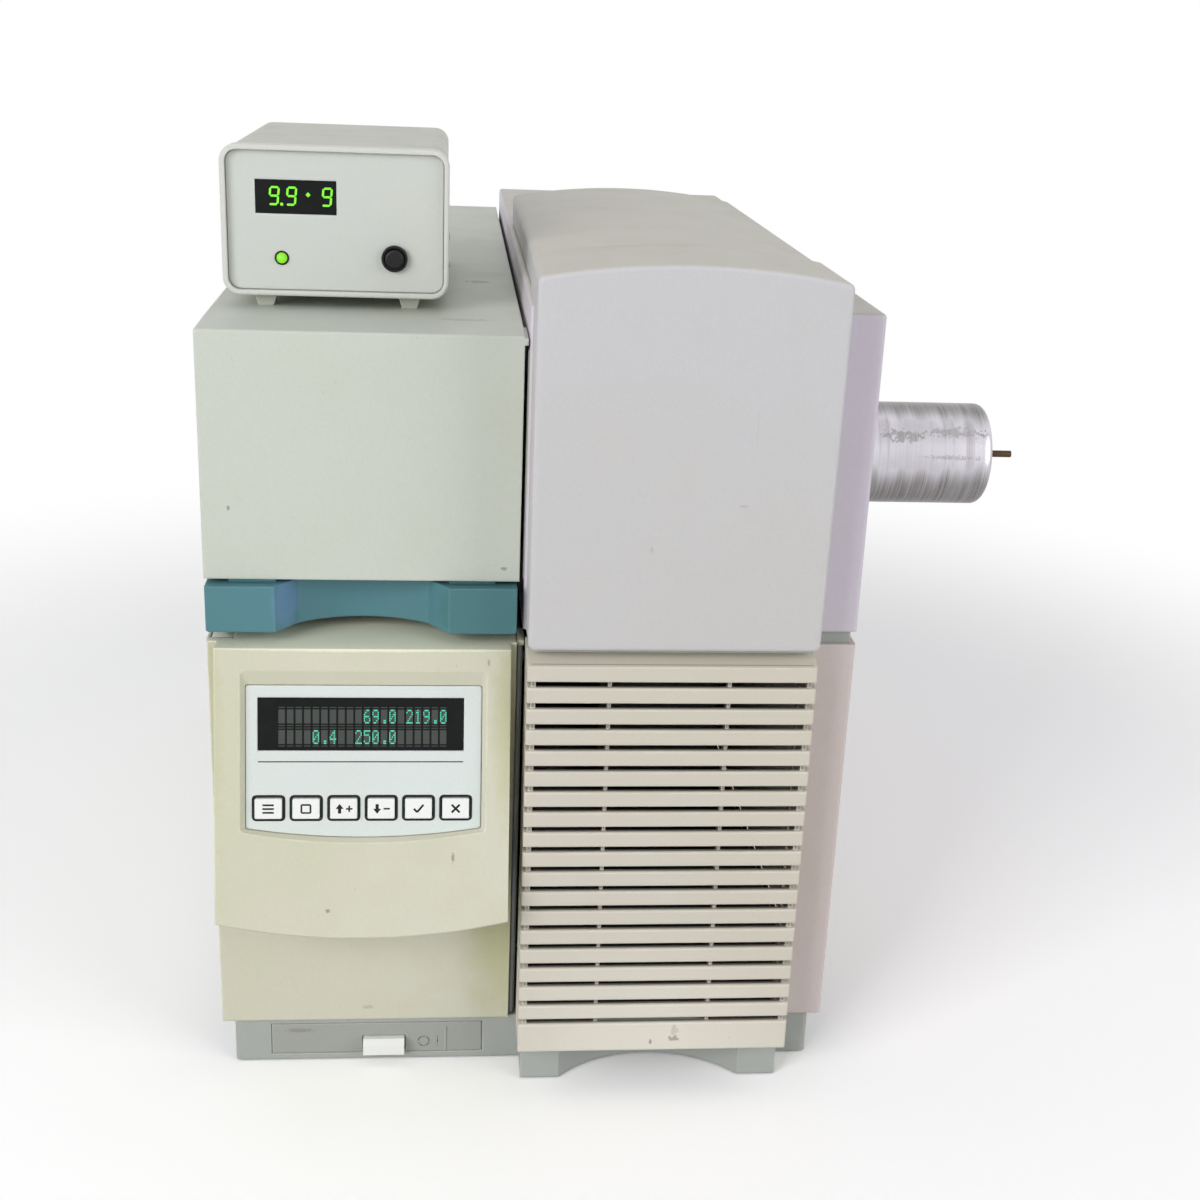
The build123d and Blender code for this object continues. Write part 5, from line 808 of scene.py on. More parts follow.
# ================================================================ the finishes of this part
FINISHES: Dict[str, Any] = {
    "putty_plastic": Moulded("putty_plastic", paint(207, 212, 202), paint(199, 203, 180), wear=0.4),
    "putty_upper": Moulded(
        "putty_upper", paint(206, 211, 202), paint(199, 203, 182), wear=0.45,
        marks=(
            Mark((-193.9, -247.1, 292.2), (0.7, 4.0, 1.4), 0.65),
            Mark((-70.1, -247.1, 264.8), (1.5, 4.0, 1.0), 0.6, 1.0),
            Mark((-81.3, -97.6, 372.8), (7.0, 5.0, 4.0), 0.35, 1.3),
            Mark((-88.7, -212.0, 372.8), (12.0, 3.0, 4.0), 0.22, 1.5),
        ),
    ),
    "putty_lower": Moulded(
        "putty_lower", paint(214, 212, 194), paint(196, 197, 158), ageing=0.45, wear=0.5,
        marks=(
            Mark((-76.5, -257.9, 222.6), (0.6, 8.0, 1.6), 0.5, 1.0),
            Mark((-149.8, -285.8, 109.4), (1.1, 8.0, 0.9), 0.65),
            Mark((-92.2, -279.8, 133.5), (0.8, 8.0, 2.6), 0.6, 1.3),
            Mark((-91.4, -276.9, 145.4), (4.2, 8.0, 0.7), 0.6, 1.0),
            Mark((-134.0, -250.0, 32.0), (3.0, 8.0, 1.2), 0.3, 1.4),
        ),
        tints=(
            Mark((-62.0, -250.0, 82.0), (38.0, 50.0, 72.0), 0.95, 0.35, 0.75),
            Mark((-64.0, -262.0, 190.0), (16.0, 50.0, 70.0), 0.8, 0.4, 0.7),
            Mark((-204.0, -262.0, 180.0), (12.0, 50.0, 96.0), 0.6, 0.4, 0.7),
        ),
        # painted light: the shelf under the handle is washed pale as if lit
        washes=((Mark((-134.0, -240.0, 231.4), (120.0, 60.0, 5.0), 0.95, 0.1, 0.3), paint(246, 246, 222)),),
    ),
    "putty_louvre": Moulded(
        "putty_louvre", paint(212, 206, 194), paint(204, 200, 176), wear=0.55,
        marks=(
            Mark((6.3, -274.1, 27.4), (0.7, 4.0, 1.6), 0.75, 1.1),
            Mark((17.6, -274.1, 29.0), (2.4, 4.0, 1.8), 0.6, 1.5),
            Mark((17.9, -274.1, 34.0), (2.0, 4.0, 3.2), 0.25, 1.3),
            Mark((20.7, -274.1, 123.2), (3.4, 4.0, 1.0), 0.35, 1.3),
            Mark((-20.0, -274.1, 176.0), (2.6, 4.0, 0.8), 0.3, 1.3),
        ),
        # painted light: the louvre is washed paler towards the bottom
        washes=((Mark((7.5, -262.0, 14.0), (110.0, 90.0, 95.0), 0.9, 0.2, 0.9), paint(232, 227, 214)),),
        # painted shade: the louvre's inside, behind its outer faces, is darkened
        shade_box=((7.5, -247.1, 128.0), (65.3, 25.5, 100.0)),
    ),
    "putty_paint": Moulded("putty_paint", paint(202, 204, 194), paint(196, 197, 176), grain=900.0),
    "pale_plastic": Moulded(
        "pale_plastic", paint(203, 202, 205), paint(201, 198, 187), edge=0.0028, top_tone=1.0,
        marks=(
            Mark((33.6, -278.0, 305.0), (2.2, 8.0, 0.6), 0.22, 1.1),
            Mark((-6.0, -277.0, 284.0), (0.6, 8.0, 1.6), 0.2, 1.2),
        ),
    ),
    # painted light: the pale plastic, lighter and pinker, for the housing's lit sides
    "pale_housing_lit": Moulded(
        "pale_housing_lit", paint(218, 210, 222), paint(202, 198, 190), ageing=0.2, top_tone=1.0),
    "rose_plastic": Moulded("rose_plastic", paint(217, 206, 205), paint(211, 197, 182)),
    "base_gray": Moulded(
        "base_gray", paint(174, 178, 173), paint(164, 167, 158), wear=0.55,
        marks=(Mark((-124.0, -245.0, 3.0), (9.0, 5.0, 1.3), 0.4, 1.4),),
    ),
    "base_insert": Moulded(
        "base_insert", paint(166, 169, 163), paint(160, 160, 148), wear=0.5,
        marks=(Mark((-168.0, -245.1, 17.6), (7.0, 5.0, 1.2), 0.45, 1.6),),
    ),
    "foot_rubber": Moulded("foot_rubber", paint(38, 38, 38), paint(60, 58, 54), roughness=0.75),
    "key_white": Moulded(
        "key_white", paint(244, 246, 244), paint(236, 236, 228), roughness=0.32, wear=0.2,
        edge=0.0005,
    ),
    "black_plastic": Moulded(
        "black_plastic", paint(15, 15, 16), paint(26, 26, 25), roughness=0.38, edge=0.0004,
        grime_and_shade=(0.07, 0.07, 0.065, 1.0), specular=0.3,
    ),
    # painted shade: the chassis zinc is darker than the rear panel's, as it shows in shaded gaps
    "zinc_sheet": Metal(
        "zinc_sheet", paint(128, 130, 130), paint(100, 98, 92), 0.55, Lay.ALONG_Z, 0.3, 0.4,
        spangle=0.25,
    ),
    "rear_zinc": Metal(
        "rear_zinc", paint(172, 174, 174), paint(150, 150, 146), 0.5, Lay.ALONG_Z, 0.3, 0.3,
        spangle=0.18,
    ),
    "panel_white": Moulded(
        "panel_white", paint(220, 228, 225), paint(214, 220, 214), roughness=0.42, wear=0.25,
        grain_depth=0.000015,
    ),
    "dark_glass": Gloss(
        "dark_glass", paint(6, 9, 9), dust=(0.05, 0.055, 0.055, 1.0), roughness=0.12, dusty=0.10,
        specular=0.2,
    ),
    "board_green": Board("board_green", paint(24, 84, 48), paint(70, 128, 74)),
    "teal_plastic": Moulded(
        "teal_plastic", paint(86, 134, 144), paint(76, 122, 126), roughness=0.5, wear=0.35,
        grain_depth=0.00005,
        tints=(Mark((-80.0, -250.0, 245.0), (22.0, 30.0, 20.0), 0.9, 0.3),),
        # painted reflection: the handle's left facet is washed bluer
        washes=((Mark((-169.5, -245.0, 248.0), (8.0, 20.0, 18.0), 0.8, 0.2, 0.6), paint(106, 144, 180)),),
    ),
    "guard_chrome": Metal("guard_chrome", paint(200, 200, 202), paint(150, 148, 144), 0.18),
    "connector_steel": Metal("connector_steel", paint(182, 182, 180), paint(140, 136, 128), 0.3),
    "cast_aluminium": Metal(
        "cast_aluminium", paint(190, 191, 192), paint(150, 150, 148), 0.42, Lay.CAST, 0.4),
    # painted reflection: the tube darkens above and below a bright band, with dark streaks painted along
    # its top and bottom
    "turned_aluminium": Metal(
        "turned_aluminium", paint(212, 208, 216), paint(108, 106, 102), 0.26, Lay.ROUND_X, 0.9, 0.55,
        polished=((150.0, -123.1, 292.0), (0.0, 0.40, 0.917), 8.0, 22.0), bands=0.45,
        tints=(
            Mark((140.0, -142.0, 306.0), (13.0, 9.0, 3.0), 0.7, 1.6),
            Mark((166.0, -146.0, 296.0), (16.0, 9.0, 1.3), 0.55, 1.8),
            Mark((168.0, -140.0, 308.0), (17.0, 12.0, 2.2), 0.6, 1.8),
            Mark((172.0, -148.0, 284.0), (10.0, 8.0, 1.0), 0.5, 1.7),
        ),
    ),
    "clear_glass": Gloss("clear_glass", paint(190, 205, 205), roughness=0.06, alpha=0.35),
    "rod_gold": Metal("rod_gold", paint(214, 176, 96), paint(170, 130, 70), 0.22),
    "pump_paint": Moulded("pump_paint", paint(86, 92, 98), paint(70, 74, 78), roughness=0.45),
    "ferrule_brass": Metal(
        "ferrule_brass", paint(92, 72, 54), paint(48, 36, 29), 0.42, Lay.ROUND_X, 0.5, 0.8),
    "case_gray": Moulded("case_gray", paint(195, 197, 186), paint(189, 190, 174), roughness=0.45),
    "rim_white": Moulded(
        "rim_white", paint(214, 215, 210), paint(214, 213, 203), roughness=0.42, wear=0.1, edge=0.0009,
    ),
    "gauge_panel_white": Moulded(
        "gauge_panel_white", paint(207, 211, 206), paint(205, 207, 196), roughness=0.45,
        grain_depth=0.000015,
    ),
    "led_green": Lit("led_green", paint(70, 150, 20), paint(150, 235, 40), 0.8),
    "readout_cell": Gloss("readout_cell", paint(52, 57, 53), dust=(0.10, 0.11, 0.10, 1.0), roughness=0.5),
    "readout_glow": Lit("readout_glow", paint(40, 130, 110), paint(84, 214, 180), 0.9),
    "gauge_glow": Lit("gauge_glow", paint(50, 140, 20), paint(140, 245, 50), 1.0),
    # painted shade: a dark gray for the covers' sides seen in the shaded gaps beside them
    "edge_gray": Moulded("edge_gray", paint(150, 153, 142), paint(140, 142, 128)),
    "worn_print": Print("worn_print", paint(92, 94, 92), 0.52),
}

NODE_FINISHES: Dict[str, str] = {
    "analyzer_cover": "putty_upper", "lower_left_cover": "putty_lower",
    "louvre_grille": "putty_louvre", "power_insert": "base_insert",
    "right_upper_housing": "pale_housing_lit", "rear_panel": "rear_zinc",
}
# Parts whose marks, ageing or colour differ from those of their slot; the right housing is painted lighter
# and pinker as painted light on its sides, and the rear panel keeps the zinc's own lighter colour, while
# the slot's zinc is painted darker as shade.
"""Parts whose marks or ageing differ from those of their slot."""


class Dresser:
    """Gives every modelled part the finish that the record names for it."""

    def __init__(self, frame: Dict[str, Any]) -> None:
        """Keep the frame and start with no material made."""
        self.frame = frame
        self.made: Dict[str, bpy.types.Material] = {}

    def finish(self, name: str) -> bpy.types.Material:
        """Return a finish's material, made on first use.

        Args:
            name: a key of FINISHES.

        Returns:
            The material.
        """
        if name not in self.made:
            self.made[name] = FINISHES[name].material()
        return self.made[name]

    def dress_parts(self) -> None:
        """Assign every carried-over part its own finish or its slot's."""
        for part in self.frame["record"]["subparts"]:
            item = self.frame["nodes"][part["node"]]
            item.data.materials.clear()
            finish = NODE_FINISHES.get(part["node"], part["material_slot"])
            item.data.materials.append(self.finish(finish))
            LOG.info("%s: %s", part["node"], part["material_slot"])


# ================================================================ stage
@dataclass(frozen=True)
class Lamp:
    """A square soft box: where it hangs and its side, in metres, and its watts."""

    name: str
    place: Point
    side: float
    watts: float

    def hang(self, aim: Point) -> None:
        """Hang the lamp so that it faces a point.

        Args:
            aim: the point, in metres.
        """
        data = bpy.data.lights.new(self.name, "AREA")
        data.shape = "SQUARE"
        data.size = self.side
        data.energy = self.watts
        item = bpy.data.objects.new(self.name, data)
        turn = (Vector(aim) - Vector(self.place)).to_track_quat("-Z", "Y").to_matrix().to_4x4()
        item.matrix_world = Matrix.Translation(Vector(self.place)) @ turn
        bpy.context.scene.collection.objects.link(item)


@dataclass
class Studio:
    """Pale floor, soft light, and the camera."""

    focal: float = 49.6532
    film: float = 36.0
    station: Point = (-96.45, -969.9, 505.3)
    pitch: float = 0.33792238
    yaw: float = 0.09831147
    roll: float = 0.04152326
    floor_reach: float = 12.0
    floor_colour: Colour = (0.62, 0.62, 0.62, 1.0)
    floor_seen: Colour = (1.28, 1.28, 1.28, 1.0)
    white: Colour = (1.0, 1.0, 1.0, 1.0)
    white_from: Flat = (0.40, 0.95)
    sky: Colour = (0.41, 0.41, 0.42, 1.0)
    aim: Point = (0.0, 0.0, 0.22)
    lamps: Tuple[Lamp, ...] = (
        Lamp("key_lamp", (-2.0, -2.3, 1.3), 1.6, 51.0),
        Lamp("fill_lamp", (2.2, -1.7, 0.8), 2.0, 29.0),
        Lamp("top_lamp", (-0.2, 0.6, 2.6), 1.8, 4.0),
    )

    def build(self) -> None:
        """Build the camera, the floor, the lamps and the world."""
        self._camera()
        self._floor()
        self._world()
        for lamp in self.lamps:
            lamp.hang(self.aim)
        bpy.context.scene.view_settings.view_transform = "Standard"

    def _camera(self) -> None:
        """Aim the camera: right turns by roll about the line of sight."""
        sight = Vector((
            math.sin(self.yaw) * math.cos(self.pitch), math.cos(self.yaw) * math.cos(self.pitch),
            -math.sin(self.pitch)))
        level = Vector((math.cos(self.yaw), -math.sin(self.yaw), 0.0))
        upward = level.cross(sight)
        right = level * math.cos(self.roll) + upward * math.sin(self.roll)
        up = upward * math.cos(self.roll) - level * math.sin(self.roll)
        data = bpy.data.cameras.new("camera")
        data.lens = self.focal
        data.sensor_width = self.film
        data.sensor_fit = "HORIZONTAL"
        item = bpy.data.objects.new("camera", data)
        turn = Matrix((right, up, -sight)).transposed().to_4x4()
        item.matrix_world = Matrix.Translation(Vector(self.station) * MM) @ turn
        bpy.context.scene.collection.objects.link(item)
        bpy.context.scene.camera = item

    def _floor(self) -> None:
        """Lay a wide floor that shows white where it is lit and keeps the shadow."""
        mesh = bpy.data.meshes.new("floor")
        reach = self.floor_reach
        corners = [(-reach, -reach, 0), (reach, -reach, 0), (reach, reach, 0), (-reach, reach, 0)]
        mesh.from_pydata(corners, [], [(0, 1, 2, 3)])
        item = bpy.data.objects.new("floor", mesh)
        bpy.context.scene.collection.objects.link(item)
        s = Shader("floor_paint")
        seen = self._seen(s)
        lit = s.node("BsdfDiffuse", values={"Color": s.mix(seen, self.floor_colour, self.floor_seen)})
        plain = s.node("Emission", values={"Color": self.white})
        far = s.away((0.0, 0.0, 0.0), (1.0, 1.0, 1.0)).rise(*self.white_from) * seen
        s.close(s.node("MixShader", values={0: far, 1: lit, 2: plain}))
        mesh.materials.append(s.material)

    @staticmethod
    def _seen(s: Shader) -> Field:
        """Return 1 for camera, glossy and transmission rays.

        Args:
            s: the shader that asks.

        Returns:
            1 where the ray shows its target.
        """
        seen = s.node("LightPath", output="Is Camera Ray")
        for kind in ("Is Glossy Ray", "Is Transmission Ray"):
            seen = s.math("MAXIMUM", seen, s.node("LightPath", output=kind))
        return seen

    def _world(self) -> None:
        """Light from all round, and white where it is seen."""
        world = bpy.data.worlds.new("studio")
        bpy.context.scene.world = world
        s = Shader("studio", world)
        shade = s.mix(self._seen(s), self.sky, self.white)
        s.close(s.node("Background", values={"Color": shade}), "World")


# ================================================================ characters
DOT_DIGITS: Dict[str, str] = {
    "0": "01110 10001 10011 10101 11001 10001 01110",
    "1": "00100 01100 00100 00100 00100 00100 01110",
    "2": "01110 10001 00001 00010 00100 01000 11111",
    "3": "11111 00010 00100 00010 00001 10001 01110",
    "4": "00010 00110 01010 10010 11111 00010 00010",
    "5": "11111 10000 11110 00001 00001 10001 01110",
    "6": "00110 01000 10000 11110 10001 10001 01110",
    "7": "11111 00001 00010 00100 01000 01000 01000",
    "8": "01110 10001 10001 01110 10001 10001 01110",
    "9": "01110 10001 10001 01111 00001 00010 01100",
    ".": "00000 00000 00000 00000 00000 00110 00110",
}
"""Rows of five dots, top row first, of a character that is seven rows high."""

BAR_ENDS: Dict[str, Tuple[Flat, Flat]] = {
    "top": ((0.0, 1.0), (0.5, 1.0)), "high_left": ((0.0, 0.5), (0.0, 1.0)),
    "high_right": ((0.5, 0.5), (0.5, 1.0)), "middle": ((0.0, 0.5), (0.5, 0.5)),
    "low_left": ((0.0, 0.0), (0.0, 0.5)), "low_right": ((0.5, 0.0), (0.5, 0.5)),
    "bottom": ((0.0, 0.0), (0.5, 0.0)),
}
"""Middle lines of a seven-bar digit, one unit high."""

NINE_BARS = ("top", "high_left", "high_right", "middle", "low_right", "bottom")


def dots(text: str, columns: Sequence[int], width: float, height: float) -> np.ndarray:
    """Places of the lit dots of a line of characters.

    Args:
        text: the characters.
        columns: the number of each one's cell.
        width: of a character's five dots.
        height: of its seven dots.

    Returns:
        Array (k, 3): cell number, then right and up from the middle of that cell.
    """
    found = []
    for character, column in zip(text, columns):
        if character in DOT_DIGITS:
            rows = [[int(bit) for bit in row] for row in DOT_DIGITS[character].split()]
            down, across = np.nonzero(np.array(rows))
            right = (across / 4.0 - 0.5) * width
            up = (0.5 - down / 6.0) * height
            found.append(np.stack([np.full(len(right), column), right, up], axis=-1))
    return np.concatenate(found)


# ================================================================ control panel
@dataclass
class ControlPanel:
    """What is printed and lit on the leaning control panel; places run down its slope."""

    tilt: float = 13.8
    hood_reach: float = 9.4
    recess: float = 3.2
    cell_size: Flat = (3.0, 6.6)
    cell_relief: Tuple[float, float, float] = (0.15, 0.05, 0.02)
    cursor_height: float = 0.5
    cursor_drop: float = 4.2
    cell_rows: Flat = (31.8, 41.4)
    cell_span: Flat = (35.0, 109.0)
    columns: int = 20
    upper_line: Tuple[str, int] = ("69.0 219.0", 10)
    lower_line: Tuple[str, int] = ("0.4  250.0", 4)
    dot_size: Flat = (0.52, 0.676)
    dot_relief: Tuple[float, float, float] = (0.12, 0.09, 0.03)
    dot_field: Flat = (2.4, 5.8)
    rule_span: Flat = (24.2, 118.4)
    rule_drop: float = 53.0
    rule_width: float = 0.5
    print_thick: float = 0.05
    key_first: float = 29.0
    key_pitch: float = 17.22
    key_drop: float = 74.7
    key_reach: float = 2.0
    keys: int = 6
    frame_size: Flat = (15.3, 12.3)
    frame_band: float = 1.0
    mark_size: float = 5.2
    mark_thick: float = 0.06

    def build(self, dresser: "Dresser") -> None:
        """Build the readout, the rule under the window, the key frames and the key symbols.

        Args:
            dresser: gives the finishes.
        """
        self.dresser = dresser
        cover = np.array(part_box("analyzer_cover")) / MM
        lower = np.array(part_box("lower_left_cover")) / MM
        lean = math.radians(self.tilt)
        corner = (cover[0][0], cover[0][1] - self.hood_reach, lower[1][2])
        face = Place(corner, (1.0, 0.0, 0.0), (0.0, math.sin(lean), math.cos(lean)))
        self.face = face.moved(0.0, 0.0, -self.recess)
        self._cells()
        self._characters()
        self._rule()
        self._key_frames()
        self._key_marks()

    def _columns(self) -> np.ndarray:
        """Return the middle of each cell, from the left of the face."""
        return np.linspace(self.cell_span[0], self.cell_span[1], self.columns)

    def _cells(self) -> None:
        """Lay the grey cells of the readout in two rows, with a cursor bar above and below each."""
        stack = pad(*self.cell_size, *self.cell_relief)
        columns = np.tile(self._columns(), 2)
        rows = np.repeat(np.array(self.cell_rows), self.columns)
        shift = np.stack([columns, -rows, np.zeros(len(rows))], axis=-1)
        piece = Piece("readout_cells")
        piece.add(self.face.carry(stack[None] + shift[:, None, None, :]))
        bar = pad(self.cell_size[0], self.cursor_height, *self.cell_relief)
        for side in (-1.0, 1.0):
            drop = shift - (0.0, side * self.cursor_drop, 0.0)
            piece.add(self.face.carry(bar[None] + drop[:, None, None, :]))
        piece.object(self.dresser.finish("readout_cell"), "root", smooth=False)

    def _characters(self) -> None:
        """Light generic figures on both rows, dot by dot."""
        stack = pad(*self.dot_size, *self.dot_relief)
        lift = self.dot_relief[2]
        piece = Piece("readout_figures")
        for row, (text, first) in zip(self.cell_rows, (self.upper_line, self.lower_line)):
            spots = dots(text, range(first, first + len(text)), *self.dot_field)
            right = self._columns()[spots[:, 0].astype(int)] + spots[:, 1]
            shift = np.stack([right, spots[:, 2] - row, np.full(len(right), lift)], axis=-1)
            piece.add(self.face.carry(stack[None] + shift[:, None, None, :]))
        piece.object(self.dresser.finish("readout_glow"), "root", smooth=False)

    def _rule(self) -> None:
        """Print the thin dark rule under the window."""
        start, end = self.rule_span
        line = stroke((start, -self.rule_drop), (end, -self.rule_drop), self.rule_width)
        piece = Piece("panel_rule")
        piece.add(self.face.carry(plate(line, self.print_thick, 0.999)))
        piece.object(self.dresser.finish("black_plastic"), "root", smooth=False)

    def _key_frames(self) -> None:
        """Print a black frame round each key's opening."""
        frame = border(*self.frame_size, 2.0 * self.frame_band, self.frame_band, 0.12, 0.03)
        piece = Piece("key_frames")
        for index in range(self.keys):
            spot = self.face.moved(self.key_first + index * self.key_pitch, -self.key_drop)
            piece.add(spot.carry(frame), closed=True)
        piece.object(self.dresser.finish("black_plastic"), "root")

    def _key_marks(self) -> None:
        """Print one plain symbol on each key: bars, square, up, down, tick and cross."""
        bars = self._strokes([(-0.5, k, 0.5, k) for k in (-0.34, 0.0, 0.34)], 0.85)
        square = self._strokes([
            (-0.4, -0.36, 0.4, -0.36), (-0.4, 0.36, 0.4, 0.36),
            (-0.4, -0.36, -0.4, 0.36), (0.4, -0.36, 0.4, 0.36)], 0.8)
        shaft = self._strokes([(-0.35, -0.42, -0.35, 0.05)], self.mark_size * 0.28)
        up_arrow = shaft + [np.array([(-0.70, 0.0), (0.0, 0.0), (-0.35, 0.45)]) * self.mark_size]
        down_arrow = [(outline * (1.0, -1.0))[::-1] for outline in up_arrow]
        plus = self._strokes([(0.22, 0.0, 0.78, 0.0), (0.5, -0.28, 0.5, 0.28)], 0.75)
        tick = self._strokes([(-0.4, 0.0, -0.12, -0.32), (-0.12, -0.32, 0.45, 0.36)], 0.95)
        cross = self._strokes([(-0.36, -0.36, 0.36, 0.36), (-0.36, 0.36, 0.36, -0.36)], 0.95)
        marks = (bars, square, up_arrow + plus, down_arrow + plus[:1], tick, cross)
        for index, shapes in enumerate(marks):
            spot = self.face.moved(self.key_first + index * self.key_pitch, -self.key_drop, self.key_reach)
            piece = Piece(f"key_{index + 1}_mark")
            for outline in shapes:
                piece.add(spot.carry(plate(outline, self.mark_thick)))
            ink = self.dresser.finish("black_plastic")
            piece.object(ink, f"key_{index + 1}", smooth=False)

    def _strokes(self, lines: Sequence[Tuple[float, float, float, float]],
                 thick: float) -> List[np.ndarray]:
        """Return strokes of one width, each from (x, y) to (x, y) in shares of the mark's size."""
        s = self.mark_size
        return [stroke((x0 * s, y0 * s), (x1 * s, y1 * s), thick) for x0, y0, x1, y1 in lines]


# ================================================================ power insert
@dataclass
class PowerInsert:
    """Worn symbols beside the power button, on the front of the base."""

    setback: float = 2.0
    ring_x: float = 100.4
    bar_x: float = 107.4
    height: float = 10.2
    size: float = 6.0
    line: float = 0.5
    thick: float = 0.06

    def build(self, dresser: "Dresser") -> None:
        """Print a ring and a bar, the plain signs for off and on.

        Args:
            dresser: gives the finishes.
        """
        cover = np.array(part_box("analyzer_cover")) / MM
        face = Place((cover[0][0], cover[0][1] + self.setback, 0.0))
        outer, inner = self.size / 2, self.size / 2 - self.line
        piece = Piece("power_symbols")
        ring = turned_rings([(outer, 0.0), (outer, self.thick), (inner, self.thick), (inner, 0.0)])
        piece.add(face.moved(self.ring_x, self.height).carry(ring), closed=True)
        bar = stroke((0.0, -outer), (0.0, outer), self.line)
        piece.add(face.moved(self.bar_x, self.height).carry(plate(bar, self.thick)))
        piece.object(dresser.finish("worn_print"), "root", smooth=False)


# ================================================================ gauge controller
@dataclass
class GaugeFace:
    """Lit figures and the lamp's ring on the front of the gauge controller."""

    panel_recess: float = 3.0
    window_x: float = 15.4
    window_middle: float = 44.8
    window_lift: float = 0.02
    digit_height: float = 7.6
    digit_thick: float = 0.95
    digit_lean: float = 0.10
    digit_xs: Tuple[float, ...] = (6.6, 14.4, 30.4)
    point_x: float = 11.9
    lozenge_x: float = 23.8
    lozenge_rise: float = 0.8
    glow_thick: float = 0.08
    lamp: Flat = (26.8, 17.0)
    ring: Profile = ((3.3, 0.0), (3.2, 0.45), (2.6, 0.45), (2.42, 0.0))

    def build(self, dresser: "Dresser") -> None:
        """Build the lit figures and the ring round the lamp.

        Args:
            dresser: gives the finishes.
        """
        self.dresser = dresser
        rim = np.array(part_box("gauge_rim")) / MM
        self.face = Place((rim[0][0], rim[0][1] + self.panel_recess, rim[0][2]))
        self._figures()
        self._lamp_ring()

    def _figures(self) -> None:
        """Light three slanted seven-bar figures, a point and a lozenge."""
        middle = self.face.moved(self.window_x, self.window_middle, self.window_lift)
        high, thick = self.digit_height, self.glow_thick
        slant = np.array([[1.0, 0.0], [self.digit_lean, 1.0]])
        piece = Piece("gauge_figures")
        for x in self.digit_xs:
            for name in NINE_BARS:
                start, end = (np.array(point) * high - (0.0, high / 2) for point in BAR_ENDS[name])
                gap = (end - start) / np.linalg.norm(end - start) * self.digit_thick * 0.55
                bar = stroke(start + gap, end - gap, self.digit_thick, self.digit_thick * 0.4)
                piece.add(middle.moved(x, 0.0).carry(plate(bar @ slant, thick)))
        dot = turned_rings([(0.75, 0.0), (0.7, thick)], 12)
        piece.add(middle.moved(self.point_x, -high / 2 + 0.1).carry(dot))
        lozenge = turned_rings([(1.15, 0.0), (1.1, thick)], 4)
        piece.add(middle.moved(self.lozenge_x, self.lozenge_rise).carry(lozenge))
        piece.object(self.dresser.finish("gauge_glow"), "analyzer_cover", smooth=False)

    def _lamp_ring(self) -> None:
        """Seat a dark bezel ring round the lamp."""
        piece = Piece("gauge_lamp_ring")
        piece.add(self.face.moved(*self.lamp).carry(turned_rings(self.ring)), closed=True)
        piece.object(self.dresser.finish("black_plastic"), "analyzer_cover")


# ================================================================ trim
@dataclass(frozen=True)
class EdgeStrip:
    """A narrow strip: width and depth, its middle past its cover's end and behind the upper
    cover's front, how much less high than its cover it is, corner radius and eased end."""

    size: Flat
    place: Flat
    short: float
    radius: float
    soft: float


